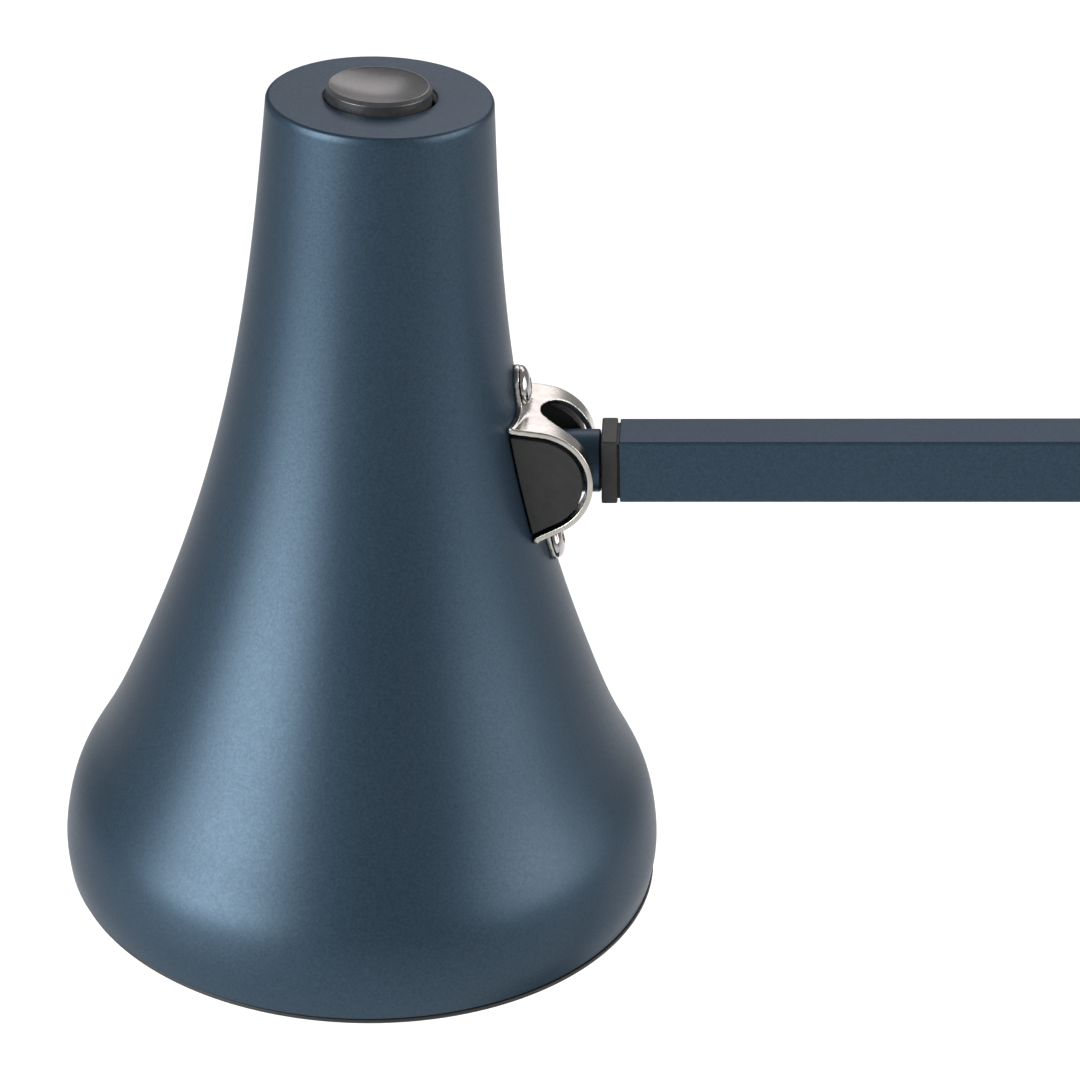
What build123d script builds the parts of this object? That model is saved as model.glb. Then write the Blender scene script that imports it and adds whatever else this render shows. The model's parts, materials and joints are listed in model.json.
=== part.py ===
from build123d import *
import math
import os

# Architect desk lamp, real size, millimetres.
# Origin: centre of the base's underside on the table. +Z up, the arms lie in the XZ plane and
# the head points towards -X. Angles are in degrees.

# Pose at rest
ARM_RISE = 1.95  # the upper arm climbs this much from the head to the elbow
LOWER_LEAN = 20.0  # the lower arm leans back from upright
HEAD_ROLL = 4.03  # the head's turn about the upper arm's own axis
HEAD_NOD = 3.82  # the arm stands this far above the shade's square-on direction

# Base
BASE_RADIUS = 65.0
BASE_TOP = 18.0
BASE_WALL = 1.5
BASE_EDGE_RADIUS = 5.0
PAD_TOP = 1.7
PAD_RADIUS = 61.0
PLATE_TOP = 3.1
WEIGHT_RADIUS = 62.6
WEIGHT_TOP = 16.4
SPINDLE_RADIUS = 3.0
INLET_Z = 8.6
INLET_RADIUS = 2.2
INLET_OUTER_RADIUS = 3.6

# Bracket plates and pivots
PLATE_INNER_Y = 6.0
PLATE_OUTER_Y = 7.4
BOLT_RADIUS = 2.0
BOLT_FIT = 0.05  # running clearance on the radius
EYE_RADIUS = 5.4
EYE_HALF = 4.9
BRACKET_FLOOR = 19.4
LOWER_PIVOT_Z = 52.0
LINK_OFFSET = 16.0  # the link's pivots sit this far behind the arm's
ELBOW_RISE = 22.0  # from the lower arm's upper pivot to the upper arm's pivot
ANCHOR_RADIUS = 1.75
ANCHOR_HALF = 17.0
LOWER_ANCHOR = (14.0, -12.0)  # from the lower pivot, along X and Z
UPPER_ANCHOR = (4.0, 16.0)  # from the upper arm's pivot, along X and Z

# Arms
LOWER_LENGTH = 210.0
UPPER_LENGTH = 200.0
TUBE_SIDE = 10.0
TUBE_WALL = 0.8
TUBE_CORNER = 0.7
COLLAR_SIDE = 10.25
COLLAR_LENGTH = 2.45
COLLAR_START = 10.15  # from the pivot's centre
NECK_LENGTH = 0.35
NECK_SIDE = 9.0
LOWER_SPRING_AT = 100.0
UPPER_SPRING_AT = 75.0
LINK_RADIUS = 2.3

# Springs
SPRING_Y = 14.4
SPRING_RADIUS = 2.55
WIRE_RADIUS = 0.45
SPRING_PITCH = 1.6
ANCHOR_HOOK = 26.0  # from the anchor pin to the coil
ARM_HOOK = 11.0  # from the arm's pin to the coil

# Head: heights are along the shade's axis from the rim, and X points to the arm
SHADE_HEIGHT = 131.0
SHADE_WALL = 1.25
SHADE_PROFILE = [
    (47.5, 0.0),
    (48.0, 4.0),
    (47.6, 9.0),
    (45.97, 15.0),
    (42.8, 21.0),
    (36.87, 34.0),
    (30.23, 52.0),
    (23.4, 77.0),
    (18.68, 107.0),
    (16.7, 131.0),
]
CAP_THICKNESS = 1.5
CAP_EDGE_RADIUS = 0.6
BUTTON_HOLE_RADIUS = 8.3
BUTTON_RADIUS = 7.8
BUTTON_TOP = 132.8
BUTTON_SHIFT = -0.2
PIVOT = (25.3, 72.9)
SADDLE_RADIUS = 9.0
SADDLE_THICKNESS = 0.9
SADDLE_HALF_WIDTH = 8.5
SADDLE_TOP_ANGLE = 85.5
SADDLE_BOTTOM_ANGLE = -59.5
SLOT_RADIUS = 5.2
SLOT_TOP_ANGLE = 52.0
SLOT_BOTTOM_ANGLE = -26.0
TOP_SCREW = (85.6, 10.2)  # height and upward tilt of the wall's square-on direction
BOTTOM_SCREW = (59.5, 16.5)
TAB_RADIUS = 3.2
TAB_HALF_NECK = 2.9
CHEEK_RADIUS = 7.35
CHEEK_INNER_Y = 5.05
CHEEK_OUTER_Y = 8.35
CHEEK_GAP = 0.3
STEM_RADIUS = 4.85
SPIGOT_RADIUS = 3.0
STEM_BORE = 1.6
PIVOT_PIN_RADIUS = 1.4
DIFFUSER_Z = 36.4
LED_Z = 63.4

LOWER_PIVOT = (0.0, LOWER_PIVOT_Z)
LOWER_TOP = (
    LOWER_LENGTH * math.sin(math.radians(LOWER_LEAN)),
    LOWER_PIVOT_Z + LOWER_LENGTH * math.cos(math.radians(LOWER_LEAN)),
)
ELBOW = (LOWER_TOP[0], LOWER_TOP[1] + ELBOW_RISE)
HEAD_PIVOT = (
    ELBOW[0] - UPPER_LENGTH * math.cos(math.radians(ARM_RISE)),
    ELBOW[1] - UPPER_LENGTH * math.sin(math.radians(ARM_RISE)),
)

# Where each sub-assembly's own frame sits in the lamp
LOWER_AT = Pos(LOWER_PIVOT[0], 0, LOWER_PIVOT[1]) * Rot(0, LOWER_LEAN, 0)
LINK_AT = Pos(LOWER_PIVOT[0] + LINK_OFFSET, 0, LOWER_PIVOT[1]) * Rot(0, LOWER_LEAN, 0)
UPPER_AT = Pos(HEAD_PIVOT[0], 0, HEAD_PIVOT[1]) * Rot(0, -ARM_RISE, 0)
STEM_AT = UPPER_AT * Rot(HEAD_ROLL, 0, 0)
HEAD_AT = STEM_AT * Rot(0, HEAD_NOD, 0) * Pos(-PIVOT[0], 0, -PIVOT[1])


def block(low, high):
    """A box from one corner to the opposite one."""
    size = [high[i] - low[i] for i in range(3)]
    middle = [(high[i] + low[i]) / 2 for i in range(3)]
    return Pos(*middle) * Box(*size)


def rod_z(radius, low, high, x=0.0, y=0.0):
    """A round rod along Z."""
    return Pos(x, y, (low + high) / 2) * Cylinder(radius, high - low)


def rod_x(radius, low, high, y=0.0, z=0.0):
    """A round rod along X."""
    return Pos((low + high) / 2, y, z) * Rot(0, 90, 0) * Cylinder(radius, high - low)


def rod_y(radius, low, high, x=0.0, z=0.0):
    """A round rod along Y."""
    return Pos(x, (low + high) / 2, z) * Rot(90, 0, 0) * Cylinder(radius, high - low)


def turned(points):
    """A solid turned about Z from its half outline, given as radius and height."""
    outline = make_face(Polyline([(r, 0, z) for r, z in points], close=True))
    return revolve(outline, Axis.Z)


def ring(outer, inner, low, high):
    """A plain ring about Z."""
    return turned([(inner, low), (outer, low), (outer, high), (inner, high)])


def hexagon(across, low, high, bore):
    """A hexagonal nut about Z with a plain bore."""
    sketch = RegularPolygon(across / math.sqrt(3), 6) - Circle(bore)
    return Pos(0, 0, low) * extrude(sketch, high - low)


def one(shape):
    """The single solid in a result that must hold exactly one."""
    solids = shape.solids()
    if len(solids) != 1:
        raise ValueError(f"expected one solid, got {len(solids)}")
    return solids[0]


# Base


def base_cover():
    """The pressed steel shell over the casting, with the cable inlet's hole at the back."""
    low = PAD_TOP - 0.4
    edge = BASE_EDGE_RADIUS
    top = BASE_TOP
    outline = [
        Line((0, 0, low), (BASE_RADIUS, 0, low)),
        Line((BASE_RADIUS, 0, low), (BASE_RADIUS, 0, top - edge - 0.6)),
        TangentArc(
            (BASE_RADIUS, 0, top - edge - 0.6),
            (BASE_RADIUS - edge, 0, top - 0.6),
            tangent=(0, 0, 1),
        ),
        Line((BASE_RADIUS - edge, 0, top - 0.6), (24, 0, top)),
        Line((24, 0, top), (0, 0, top)),
        Line((0, 0, top), (0, 0, low)),
    ]
    outer = revolve(make_face(outline), Axis.Z)
    hollow = rod_z(WEIGHT_RADIUS + 0.2, low, 11.0) + turned(
        [(0, 10.9), (WEIGHT_RADIUS + 0.2, 10.9), (58.4, WEIGHT_TOP), (0, WEIGHT_TOP)]
    )
    inlet = rod_x(INLET_OUTER_RADIUS - 0.8, 60, 70, z=INLET_Z)
    return one(outer - hollow - rod_z(SPINDLE_RADIUS + 0.2, 10, 20) - inlet)


def base_weight():
    """The cast iron disc that keeps the lamp standing, with a cable channel underneath."""
    disc = turned(
        [
            (0, PLATE_TOP),
            (WEIGHT_RADIUS, PLATE_TOP),
            (WEIGHT_RADIUS, 10.8),
            (58.3, WEIGHT_TOP - 0.1),
            (0, WEIGHT_TOP - 0.1),
        ]
    )
    head_room = rod_z(7.0, PLATE_TOP, 8.6)
    channel = block((0, -4.4, PLATE_TOP), (66, 4.4, 13.1))
    disc = disc - head_room - channel - rod_z(SPINDLE_RADIUS + 0.1, 2, 20)
    for angle in (90, 210, 330):
        disc -= Rot(0, 0, angle) * rod_z(1.6, PLATE_TOP, 10.2, x=40)
    return one(disc)


def base_plate():
    """The steel plate that closes the base."""
    plate = rod_z(WEIGHT_RADIUS, PAD_TOP, PLATE_TOP)
    for angle in (90, 210, 330):
        plate -= Rot(0, 0, angle) * rod_z(3.4, PAD_TOP, PLATE_TOP, x=40)
    return one(plate)


def plate_screws():
    """Three flat-headed screws from the plate into the casting."""
    screws = []
    for angle in (90, 210, 330):
        screw = rod_z(3.2, PAD_TOP + 0.1, PLATE_TOP, x=40) + rod_z(1.5, PLATE_TOP, 10, x=40)
        screw -= block((37.5, -0.4, PAD_TOP), (42.5, 0.4, PAD_TOP + 0.7))
        screws.append(one(Rot(0, 0, angle) * screw))
    return screws


def base_pad():
    """The rubber pad the lamp stands on."""
    pad = rod_z(PAD_RADIUS, 0, PAD_TOP)
    rim = pad.edges().group_by(Axis.Z)[0]
    return one(chamfer(rim, 0.5))


def spindle():
    """The upright bolt that the bracket turns on."""
    head = hexagon(10, 4.0, 8.4, 0.5) + rod_z(1.0, 4.0, 8.4)
    return one(head + rod_z(SPINDLE_RADIUS, 8.3, 30.4))


def inlet_grommet():
    """The rubber grommet that the mains cable would pass through."""
    r = INLET_OUTER_RADIUS
    sleeve = rod_x(r - 0.85, 62.9, 66.4, z=INLET_Z)
    lip = rod_x(r, BASE_RADIUS + 0.1, 66.2, z=INLET_Z)
    return one(sleeve + lip - rod_x(INLET_RADIUS, 60, 70, z=INLET_Z))


# Brackets


def plate_outline(circles):
    """The taut outline around a few circles, each given as centre and radius."""
    sketch = Sketch()
    for (x, z), radius in circles:
        sketch += Pos(x, z) * Circle(radius)
    return make_hull(sketch.edges())


def side_plate(circles, holes, side):
    """One bracket plate in the XZ plane, on the near (-1) or far (+1) side."""
    sketch = plate_outline(circles)
    for (x, z), radius in holes:
        sketch -= Pos(x, z) * Circle(radius)
    plate = Plane.XZ * extrude(sketch, PLATE_OUTER_Y - PLATE_INNER_Y)
    return one(Pos(0, PLATE_OUTER_Y if side > 0 else -PLATE_INNER_Y, 0) * plate)


def swivel_bracket():
    """The steel fork on the base: a round floor and two upright ears."""
    x, z = LOWER_PIVOT
    back = (x + LINK_OFFSET, z)
    anchor = (x + LOWER_ANCHOR[0], z + LOWER_ANCHOR[1])
    foot = [((-5.0, BRACKET_FLOOR + 5), 5.0), ((12.0, BRACKET_FLOOR + 5), 5.0)]
    circles = [((x, z), 7.5), (back, 7.0), (anchor, 6.0)] + foot
    holes = [((x, z), BOLT_RADIUS), (back, BOLT_RADIUS), (anchor, ANCHOR_RADIUS)]
    fork = rod_z(21, BRACKET_FLOOR, BRACKET_FLOOR + 2)
    for side in (-1, 1):
        fork += side_plate(circles, holes, side)
    return one(fork - rod_z(SPINDLE_RADIUS + BOLT_FIT, 18, 24))


def elbow_plate(side):
    """One plate of the elbow bracket."""
    x, z = LOWER_TOP
    back = (x + LINK_OFFSET, z)
    anchor = (ELBOW[0] + UPPER_ANCHOR[0], ELBOW[1] + UPPER_ANCHOR[1])
    circles = [((x, z), 7.5), (back, 7.0), (ELBOW, 7.5), (anchor, 5.0)]
    holes = [((x, z), BOLT_RADIUS), (back, BOLT_RADIUS), (ELBOW, BOLT_RADIUS)]
    holes.append((anchor, ANCHOR_RADIUS))
    return side_plate(circles, holes, side)


def pivot_bolt(centre):
    """A domed pivot bolt across the plates, its head on the near side."""
    x, z = centre
    head = Sphere(5.4) & block((-6, -6, 3.6), (6, 6, 6))
    head = Pos(0, 0, -3.6) * head
    head = Pos(x, -PLATE_OUTER_Y, z) * Rot(90, 0, 0) * head
    socket = Pos(x, -PLATE_OUTER_Y - 0.8, z) * Rot(90, 0, 0) * extrude(RegularPolygon(1.45, 6), 2)
    return one(head + rod_y(BOLT_RADIUS, -PLATE_OUTER_Y - 0.1, 11.0, x, z) - socket)


def pivot_nut(centre):
    """The hexagonal nut on a pivot bolt's far end."""
    nut = hexagon(7.0, 0, 3.1, BOLT_RADIUS)
    return one(Pos(centre[0], PLATE_OUTER_Y + 3.1, centre[1]) * Rot(90, 0, 0) * nut)


def pivot_washers(centre):
    """The two nylon washers beside an eye."""
    washer = ring(4.6, BOLT_RADIUS + 0.1, 0, PLATE_INNER_Y - EYE_HALF - 0.1)
    x, z = centre
    far = Pos(x, PLATE_INNER_Y, z) * Rot(90, 0, 0) * washer
    near = Pos(x, -EYE_HALF - 0.1, z) * Rot(90, 0, 0) * washer
    return [one(far), one(near)]


def anchor_pin(centre):
    """A pin across the plates with a groove near each end for a spring hook."""
    x, z = centre
    pin = rod_y(ANCHOR_RADIUS, -ANCHOR_HALF, ANCHOR_HALF, x, z)
    for side in (-1, 1):
        middle = side * SPRING_Y
        band = rod_y(3, middle - 0.8, middle + 0.8, x, z)
        pin -= band - rod_y(ANCHOR_RADIUS - 0.3, middle - 1, middle + 1, x, z)
        cap = side * (ANCHOR_HALF - 0.6)
        pin += rod_y(ANCHOR_RADIUS + 0.7, min(cap, cap + side), max(cap, cap + side), x, z)
    return one(pin)


def anchor_spacer(centre):
    """The tube that holds the plates apart around an anchor pin."""
    tube = ring(3.2, ANCHOR_RADIUS + 0.1, -PLATE_INNER_Y, PLATE_INNER_Y)
    return one(Pos(centre[0], 0, centre[1]) * Rot(90, 0, 0) * tube)


# Arms: each is built along +X from its first pivot


def arm_tube(start, end):
    """A square tube with softly rounded corners."""
    outer = RectangleRounded(TUBE_SIDE, TUBE_SIDE, TUBE_CORNER)
    inner_side = TUBE_SIDE - 2 * TUBE_WALL
    inner = RectangleRounded(inner_side, inner_side, 0.3)
    tube = extrude(Plane.YZ.offset(start) * (outer - inner), end - start)
    return one(tube)


def eye_plug():
    """The end fitting of a tube: eye at the origin, collar, neck and the part inside the tube."""
    far = COLLAR_START + COLLAR_LENGTH
    eye = rod_y(EYE_RADIUS, -EYE_HALF, EYE_HALF)
    shank = block((0, -EYE_HALF, -4.4), (COLLAR_START + 0.2, EYE_HALF, 4.4))
    plug = eye + shank + collar_and_insert(12.0)
    return one(plug - rod_y(BOLT_RADIUS + BOLT_FIT, -6, 6)), far + NECK_LENGTH


def collar_and_insert(depth):
    """The square collar with broken edges, its neck and the tongue inside the tube."""
    far = COLLAR_START + COLLAR_LENGTH
    half = COLLAR_SIDE / 2
    collar = block((COLLAR_START, -half, -half), (far, half, half))
    collar = chamfer(collar.edges(), 0.35)
    neck_half = NECK_SIDE / 2
    neck = block((far - 0.5, -neck_half, -neck_half), (far + NECK_LENGTH, neck_half, neck_half))
    inside = TUBE_SIDE / 2 - TUBE_WALL - 0.02
    tongue = block((far + NECK_LENGTH, -inside, -inside), (far + depth, inside, inside))
    tongue = chamfer(tongue.edges(), 0.4)
    return collar + neck + tongue


def turned_end(shape, length):
    """A fitting moved from the start of an arm to its other end."""
    return Pos(length, 0, 0) * Rot(0, 0, 180) * shape


def front_plug():
    """The bearing fitting at the head end of the upper arm."""
    plug = collar_and_insert(13.0)
    return one(plug - rod_x(SPIGOT_RADIUS + BOLT_FIT, 0, 40))


def cross_pin(at):
    """The pin through an arm that carries the springs' far hooks."""
    return anchor_pin((at, 0))


def drilled(tube, at):
    """A tube with a spring pin's hole."""
    return one(tube - rod_y(ANCHOR_RADIUS, -8, 8, at))


def link_rod():
    """The round rod between the link's eyes."""
    return one(rod_x(LINK_RADIUS, 7.0, LOWER_LENGTH - 7.0))


def link_eye():
    """An eye screwed to one end of the link."""
    eye = rod_y(EYE_RADIUS - 0.6, -EYE_HALF, EYE_HALF)
    barrel = rod_x(3.4, 3.6, 15.0)
    return one(eye + barrel - rod_y(BOLT_RADIUS + BOLT_FIT, -6, 6) - rod_x(LINK_RADIUS, 7.0, 20))


def spring_pair(start, end):
    """Two equal tension springs, one each side, from an anchor pin to an arm's pin in XZ."""
    length = math.dist(start, end)
    body = length - ANCHOR_HOOK - ARM_HOOK
    turns = round(body / SPRING_PITCH)
    path = Helix(body / turns, body, SPRING_RADIUS)
    section = Plane(origin=path @ 0, z_dir=path % 0) * Circle(WIRE_RADIUS)
    coil = sweep(section, path=path, is_frenet=True)
    shape = Pos(0, 0, ANCHOR_HOOK) * coil + hook(ANCHOR_HOOK)
    shape += Pos(0, 0, length) * Rot(180, 0, 0) * hook(ARM_HOOK)
    lean = math.degrees(math.atan2(end[0] - start[0], end[1] - start[1]))
    shape = one(Pos(start[0], 0, start[1]) * Rot(0, lean, 0) * shape)
    return [Pos(0, side * SPRING_Y, 0) * shape for side in (-1, 1)]


def hook(reach):
    """A spring's end loop, its straight wire and the short arm out to the coil."""
    loop = Rot(90, 0, 0) * Torus(ANCHOR_RADIUS + WIRE_RADIUS + 0.1, WIRE_RADIUS)
    wire = rod_z(WIRE_RADIUS, ANCHOR_RADIUS + WIRE_RADIUS, reach + 0.3)
    arm = rod_x(WIRE_RADIUS, -0.3, SPRING_RADIUS + 0.1, 0.2, reach)
    return loop + wire + arm


# Head


def flare(grow, low, high):
    """The shade's outer form grown sideways, filled to the axis, between two heights."""
    points = [(r + grow, 0, z) for r, z in SHADE_PROFILE]
    bottom, top = points[0], points[-1]
    outline = [
        Spline(points),
        Line(top, (0, 0, top[2])),
        Line((0, 0, top[2]), (0, 0, bottom[2])),
        Line((0, 0, bottom[2]), bottom),
    ]
    form = revolve(make_face(outline), Axis.Z)
    return form & block((-60, -60, low), (60, 60, high))


def wall_hole(radius, screw):
    """A hole's core, square to the shade's wall."""
    height, tilt = screw
    core = rod_x(radius, 8, 40)
    return Pos(0, 0, height) * Rot(0, -tilt, 0) * Pos(0, 0, -screw_drop(screw)) * core


def screw_drop(screw):
    """How far a tilted screw's axis passes above the height where it meets the wall."""
    return wall_radius(screw) * math.sin(math.radians(screw[1]))


def wall_radius(screw):
    """The shade's outer radius at a screw."""
    return 21.7 if screw is TOP_SCREW else 27.88


def window():
    """The opening in the wall that the stem's round end reaches into."""
    x, z = PIVOT
    low = rod_x(5.4, 15, 40, z=z - 0.1)
    high = rod_x(5.4, 15, 40, z=z + 1.6)
    return low + high + block((15, -5.4, z - 0.1), (40, 5.4, z + 1.6))


def shade():
    """The spun shade with its flat cap, wall holes and window."""
    outer = flare(0, 0, SHADE_HEIGHT)
    cap_edge = outer.edges().filter_by(GeomType.CIRCLE).group_by(Axis.Z)[-1]
    outer = fillet(cap_edge, CAP_EDGE_RADIUS)
    body = outer - flare(-SHADE_WALL, 0, SHADE_HEIGHT - CAP_THICKNESS)
    body -= rod_z(BUTTON_HOLE_RADIUS, 120, 140)
    body -= wall_hole(1.6, TOP_SCREW)
    body -= wall_hole(1.6, BOTTOM_SCREW)
    for side in (-1, 1):
        body -= rod_x(1.1, 15, 40, y=side * 6.8, z=PIVOT[1] - 1)
    body -= window()
    rim = body.edges().group_by(Axis.Z)[0]
    return one(fillet(rim, 0.3))


def rim_ring():
    """The black ring that finishes the rim, sitting a little towards the arm."""
    section = [
        (44.7, -0.7),
        (47.45, -0.7),
        (47.45, -0.02),
        (45.8, -0.02),
        (45.8, 4.6),
        (44.7, 4.6),
    ]
    return one(Pos(0.35, 0, 0) * turned(section))


def saddle_region(radius):
    """The side view of the saddle: an arc about the pivot and two straight legs to the shade."""
    x, z = PIVOT
    top = math.radians(SADDLE_TOP_ANGLE)
    bottom = math.radians(SADDLE_BOTTOM_ANGLE)
    leg = 9.0
    a = (x + radius * math.cos(top), 0, z + radius * math.sin(top))
    b = (x + radius, 0, z)
    c = (x + radius * math.cos(bottom), 0, z + radius * math.sin(bottom))
    d = (c[0] + leg * math.sin(bottom), 0, c[2] - leg * math.cos(bottom))
    e = (a[0] - leg * math.sin(top), 0, a[2] + leg * math.cos(top))
    outline = [ThreePointArc(a, b, c), Line(c, d), Line(d, e), Line(e, a)]
    return make_face(outline)


def saddle_block(radius, low, high):
    """The saddle's side view made solid between two values of Y."""
    face = saddle_region(radius)
    return Pos(0, low, 0) * extrude(face, high - low, dir=(0, 1, 0))


def saddle_slot():
    """The long rounded opening in the strap that the stem swings in."""
    x, z = PIVOT
    ends = []
    for angle in (SLOT_TOP_ANGLE, SLOT_BOTTOM_ANGLE):
        ends.append(Pos(x, 0, z) * Rot(0, -angle, 0) * rod_x(SLOT_RADIUS, 3, 14))
    wedge_points = [(x, 0, z)]
    for angle in (SLOT_TOP_ANGLE, 10, SLOT_BOTTOM_ANGLE):
        a = math.radians(angle)
        wedge_points.append((x + 16 * math.cos(a), 0, z + 16 * math.sin(a)))
    wedge = make_face(Polyline(wedge_points, close=True))
    wedge = Pos(0, -SLOT_RADIUS, 0) * extrude(wedge, 2 * SLOT_RADIUS, dir=(0, 1, 0))
    return ends[0] + ends[1] + wedge


def strap_foot(height, inner_height):
    """A narrow tab lying on the wall from the strap to a screw."""
    low, high = sorted((height, inner_height))
    half = TAB_HALF_NECK
    outline = block((15, -half, low), (40, half, high)) + rod_x(TAB_RADIUS, 15, 40, z=height)
    band = flare(SADDLE_THICKNESS, 50, 95) - flare(0, 50, 95)
    return band & outline


def scoops(height, x):
    """The concave cuts that narrow a leg to its tab."""
    cut = rod_z(2.35, height - 4, height + 4, x=x, y=6.0)
    return cut + rod_z(2.35, height - 4, height + 4, x=x, y=-6.0)


def head_strap():
    """The nickel strap over the pivot, with a slot for the stem and a tab at each end."""
    half = SADDLE_HALF_WIDTH
    outer = saddle_block(SADDLE_RADIUS, -half, half)
    inner = saddle_block(SADDLE_RADIUS - SADDLE_THICKNESS, -half - 1, half + 1)
    strap = outer - inner - flare(0, 40, 110)
    strap -= saddle_slot()
    strap -= scoops(82.0, 20.6)
    strap += strap_foot(TOP_SCREW[0], 81.4)
    strap += strap_foot(BOTTOM_SCREW[0], 64.2)
    strap -= wall_hole(1.6, TOP_SCREW)
    strap -= wall_hole(1.6, BOTTOM_SCREW)
    return one(strap)


def cheek(side):
    """The dark D-shaped plate that closes one side of the pivot, pegged to the shade."""
    low, high = sorted((side * CHEEK_INNER_Y, side * CHEEK_OUTER_Y))
    body = saddle_block(CHEEK_RADIUS, low, high) - flare(CHEEK_GAP, 40, 110)
    body = one(chamfer(outer_face_edges(body, side), 0.25))
    body += rod_x(1.05, 21.4, 26.5, y=side * 6.8, z=PIVOT[1] - 1)
    x, z = PIVOT
    low, high = sorted((side * (CHEEK_INNER_Y - 1), side * 7.0))
    return one(body - rod_y(PIVOT_PIN_RADIUS, low, high, x, z))


def outer_face_edges(body, side):
    """The edges round a cheek's visible face."""
    groups = body.faces().filter_by(Axis.Y).sort_by(Axis.Y)
    face = groups[-1] if side > 0 else groups[0]
    return face.edges()


def tilt_pin(side):
    """A short pin from a cheek into the side of the stem's round end."""
    low, high = sorted((side * 2.5, side * 7.0))
    return one(rod_y(PIVOT_PIN_RADIUS, low, high, *PIVOT))


def strap_screw(screw):
    """A domed screw through a tab and the wall."""
    dome = Sphere(4.3) & block((-4, -4, 3.0), (4, 4, 6))
    shape = Pos(0, 0, -3.0) * dome + rod_z(1.45, -6.6, 0.2)
    shape -= Pos(0, 0, 0.55) * extrude(RegularPolygon(1.1, 6), 2)
    seat = wall_radius(screw) + SADDLE_THICKNESS
    height, tilt = screw
    rise = SADDLE_THICKNESS * math.sin(math.radians(tilt))
    return Pos(seat, 0, height + rise) * Rot(0, 90 - tilt, 0) * one(shape)


def strap_nut(screw, gap):
    """The nut on the inside of the wall, with room for what it clamps."""
    nut = extrude(Plane.YZ * (RegularPolygon(3.1, 6) - Circle(1.5)), 2.2)
    height, tilt = screw
    place = Pos(wall_radius(screw), 0, height) * Rot(0, -tilt, 0)
    return one(place * Pos(-gap - 2.2, 0, 0) * nut)


def led_bracket():
    """The bent steel bracket that hangs the lamp unit from the top strap screw."""
    skin = flare(-SHADE_WALL, 81.5, 91.2) - flare(-SHADE_WALL - 1.0, 81.5, 91.2)
    flange = skin & block((5, -5, 81.5), (40, 5, 91.2))
    tongue = flare(-SHADE_WALL - 0.5, 90.0, 91.2) & block((-5, -5, 90.0), (40, 5, 91.2))
    shape = flange + tongue - wall_hole(1.6, TOP_SCREW) - rod_z(1.6, 85, 95)
    return one(shape)


def bracket_screw():
    """The screw that holds the heat sink to its bracket."""
    return one(rod_z(2.8, 91.2, 93.0) + rod_z(1.5, 84.0, 91.3) - block((-2.2, -0.4, 92.3), (2.2, 0.4, 94)))


def heat_sink():
    """The finned aluminium heat sink above the light source."""
    base = LED_Z + 2.2
    shape = rod_z(15.5, base, base + 3.5)
    fins = 9
    for i in range(fins):
        y = (i - (fins - 1) / 2) * 3.4
        shape += block((-16, y - 0.6, base + 3), (16, y + 0.6, 86.0))
    shape = shape & rod_z(15.5, base, 90)
    shape += rod_z(4.2, base, 90.0)
    return one(shape - rod_z(1.5, 82, 92))


def led_board():
    """The round board that carries the light chips."""
    return one(rod_z(15.5, LED_Z + 1.0, LED_Z + 2.2))


def led_chips():
    """Seven square chips on the board's underside."""
    chips = [one(block((-1.4, -1.4, LED_Z + 0.3), (1.4, 1.4, LED_Z + 1.0)))]
    for i in range(6):
        chip = block((4.6, -1.4, LED_Z + 0.3), (7.4, 1.4, LED_Z + 1.0))
        chips.append(one(Rot(0, 0, 60 * i) * chip))
    return chips


def reflector():
    """The white cone around the light, with a flange that covers the gap to the wall."""
    section = [
        (28.4, 38.0),
        (33.0, 38.0),
        (33.0, 39.0),
        (29.4, 39.0),
        (15.6, LED_Z),
        (15.6, LED_Z + 1.0),
        (9.6, LED_Z + 1.0),
        (9.6, LED_Z),
        (14.8, LED_Z - 0.6),
    ]
    return one(turned(section))


def diffuser():
    """The opal disc under the light."""
    return one(rod_z(30.3, DIFFUSER_Z, 37.95))


def diffuser_ring():
    """The dark ring that holds the disc to the reflector's flange."""
    section = [(28.6, 35.7), (32.2, 35.7), (32.6, 36.1), (32.6, 37.95)]
    section += [(30.5, 37.95), (30.5, 36.35), (28.6, 36.35)]
    return one(turned(section))


def button():
    """The round push button with a shallow dish and a stem below."""
    top = BUTTON_TOP
    rim = [
        (0, top - 1.15),
        (3.2, top - 1.02),
        (5.4, top - 0.62),
        (7.0, top - 0.05),
        (7.35, top),
        (7.65, top - 0.12),
        (BUTTON_RADIUS, top - 0.4),
        (BUTTON_RADIUS, 128.2),
        (6.6, 128.2),
        (6.6, 130.2),
        (2.4, 130.2),
        (2.4, 124.6),
        (0, 124.6),
    ]
    return one(Pos(BUTTON_SHIFT, 0, 0) * turned(rim))


def button_spring():
    """The small spring that lifts the button."""
    path = Helix(1.1, 5.5, 3.6)
    section = Plane(origin=path @ 0, z_dir=path % 0) * Circle(0.25)
    coil = sweep(section, path=path, is_frenet=True)
    return one(Pos(BUTTON_SHIFT, 0, 124.4) * coil)


def switch_body():
    """The switch under the cap: a cup with a flange that guides the button."""
    section = [
        (0, 112.0),
        (9.0, 112.0),
        (9.0, 126.0),
        (11.5, 126.0),
        (11.5, SHADE_HEIGHT - CAP_THICKNESS),
        (8.25, SHADE_HEIGHT - CAP_THICKNESS),
        (8.25, 124.0),
        (3.0, 124.0),
        (3.0, 120.5),
        (0, 120.5),
    ]
    body = turned(section)
    return one(Pos(BUTTON_SHIFT / 2, 0, 0) * body)


def switch_terminals():
    """Two flat terminals under the switch."""
    tabs = []
    for side in (-1, 1):
        tab = block((side * 4 - 1.6, -0.4, 107.0), (side * 4 + 1.6, 0.4, 112.0))
        tabs.append(one(tab - rod_y(0.6, -1, 1, side * 4, 108.6)))
    return tabs


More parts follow.
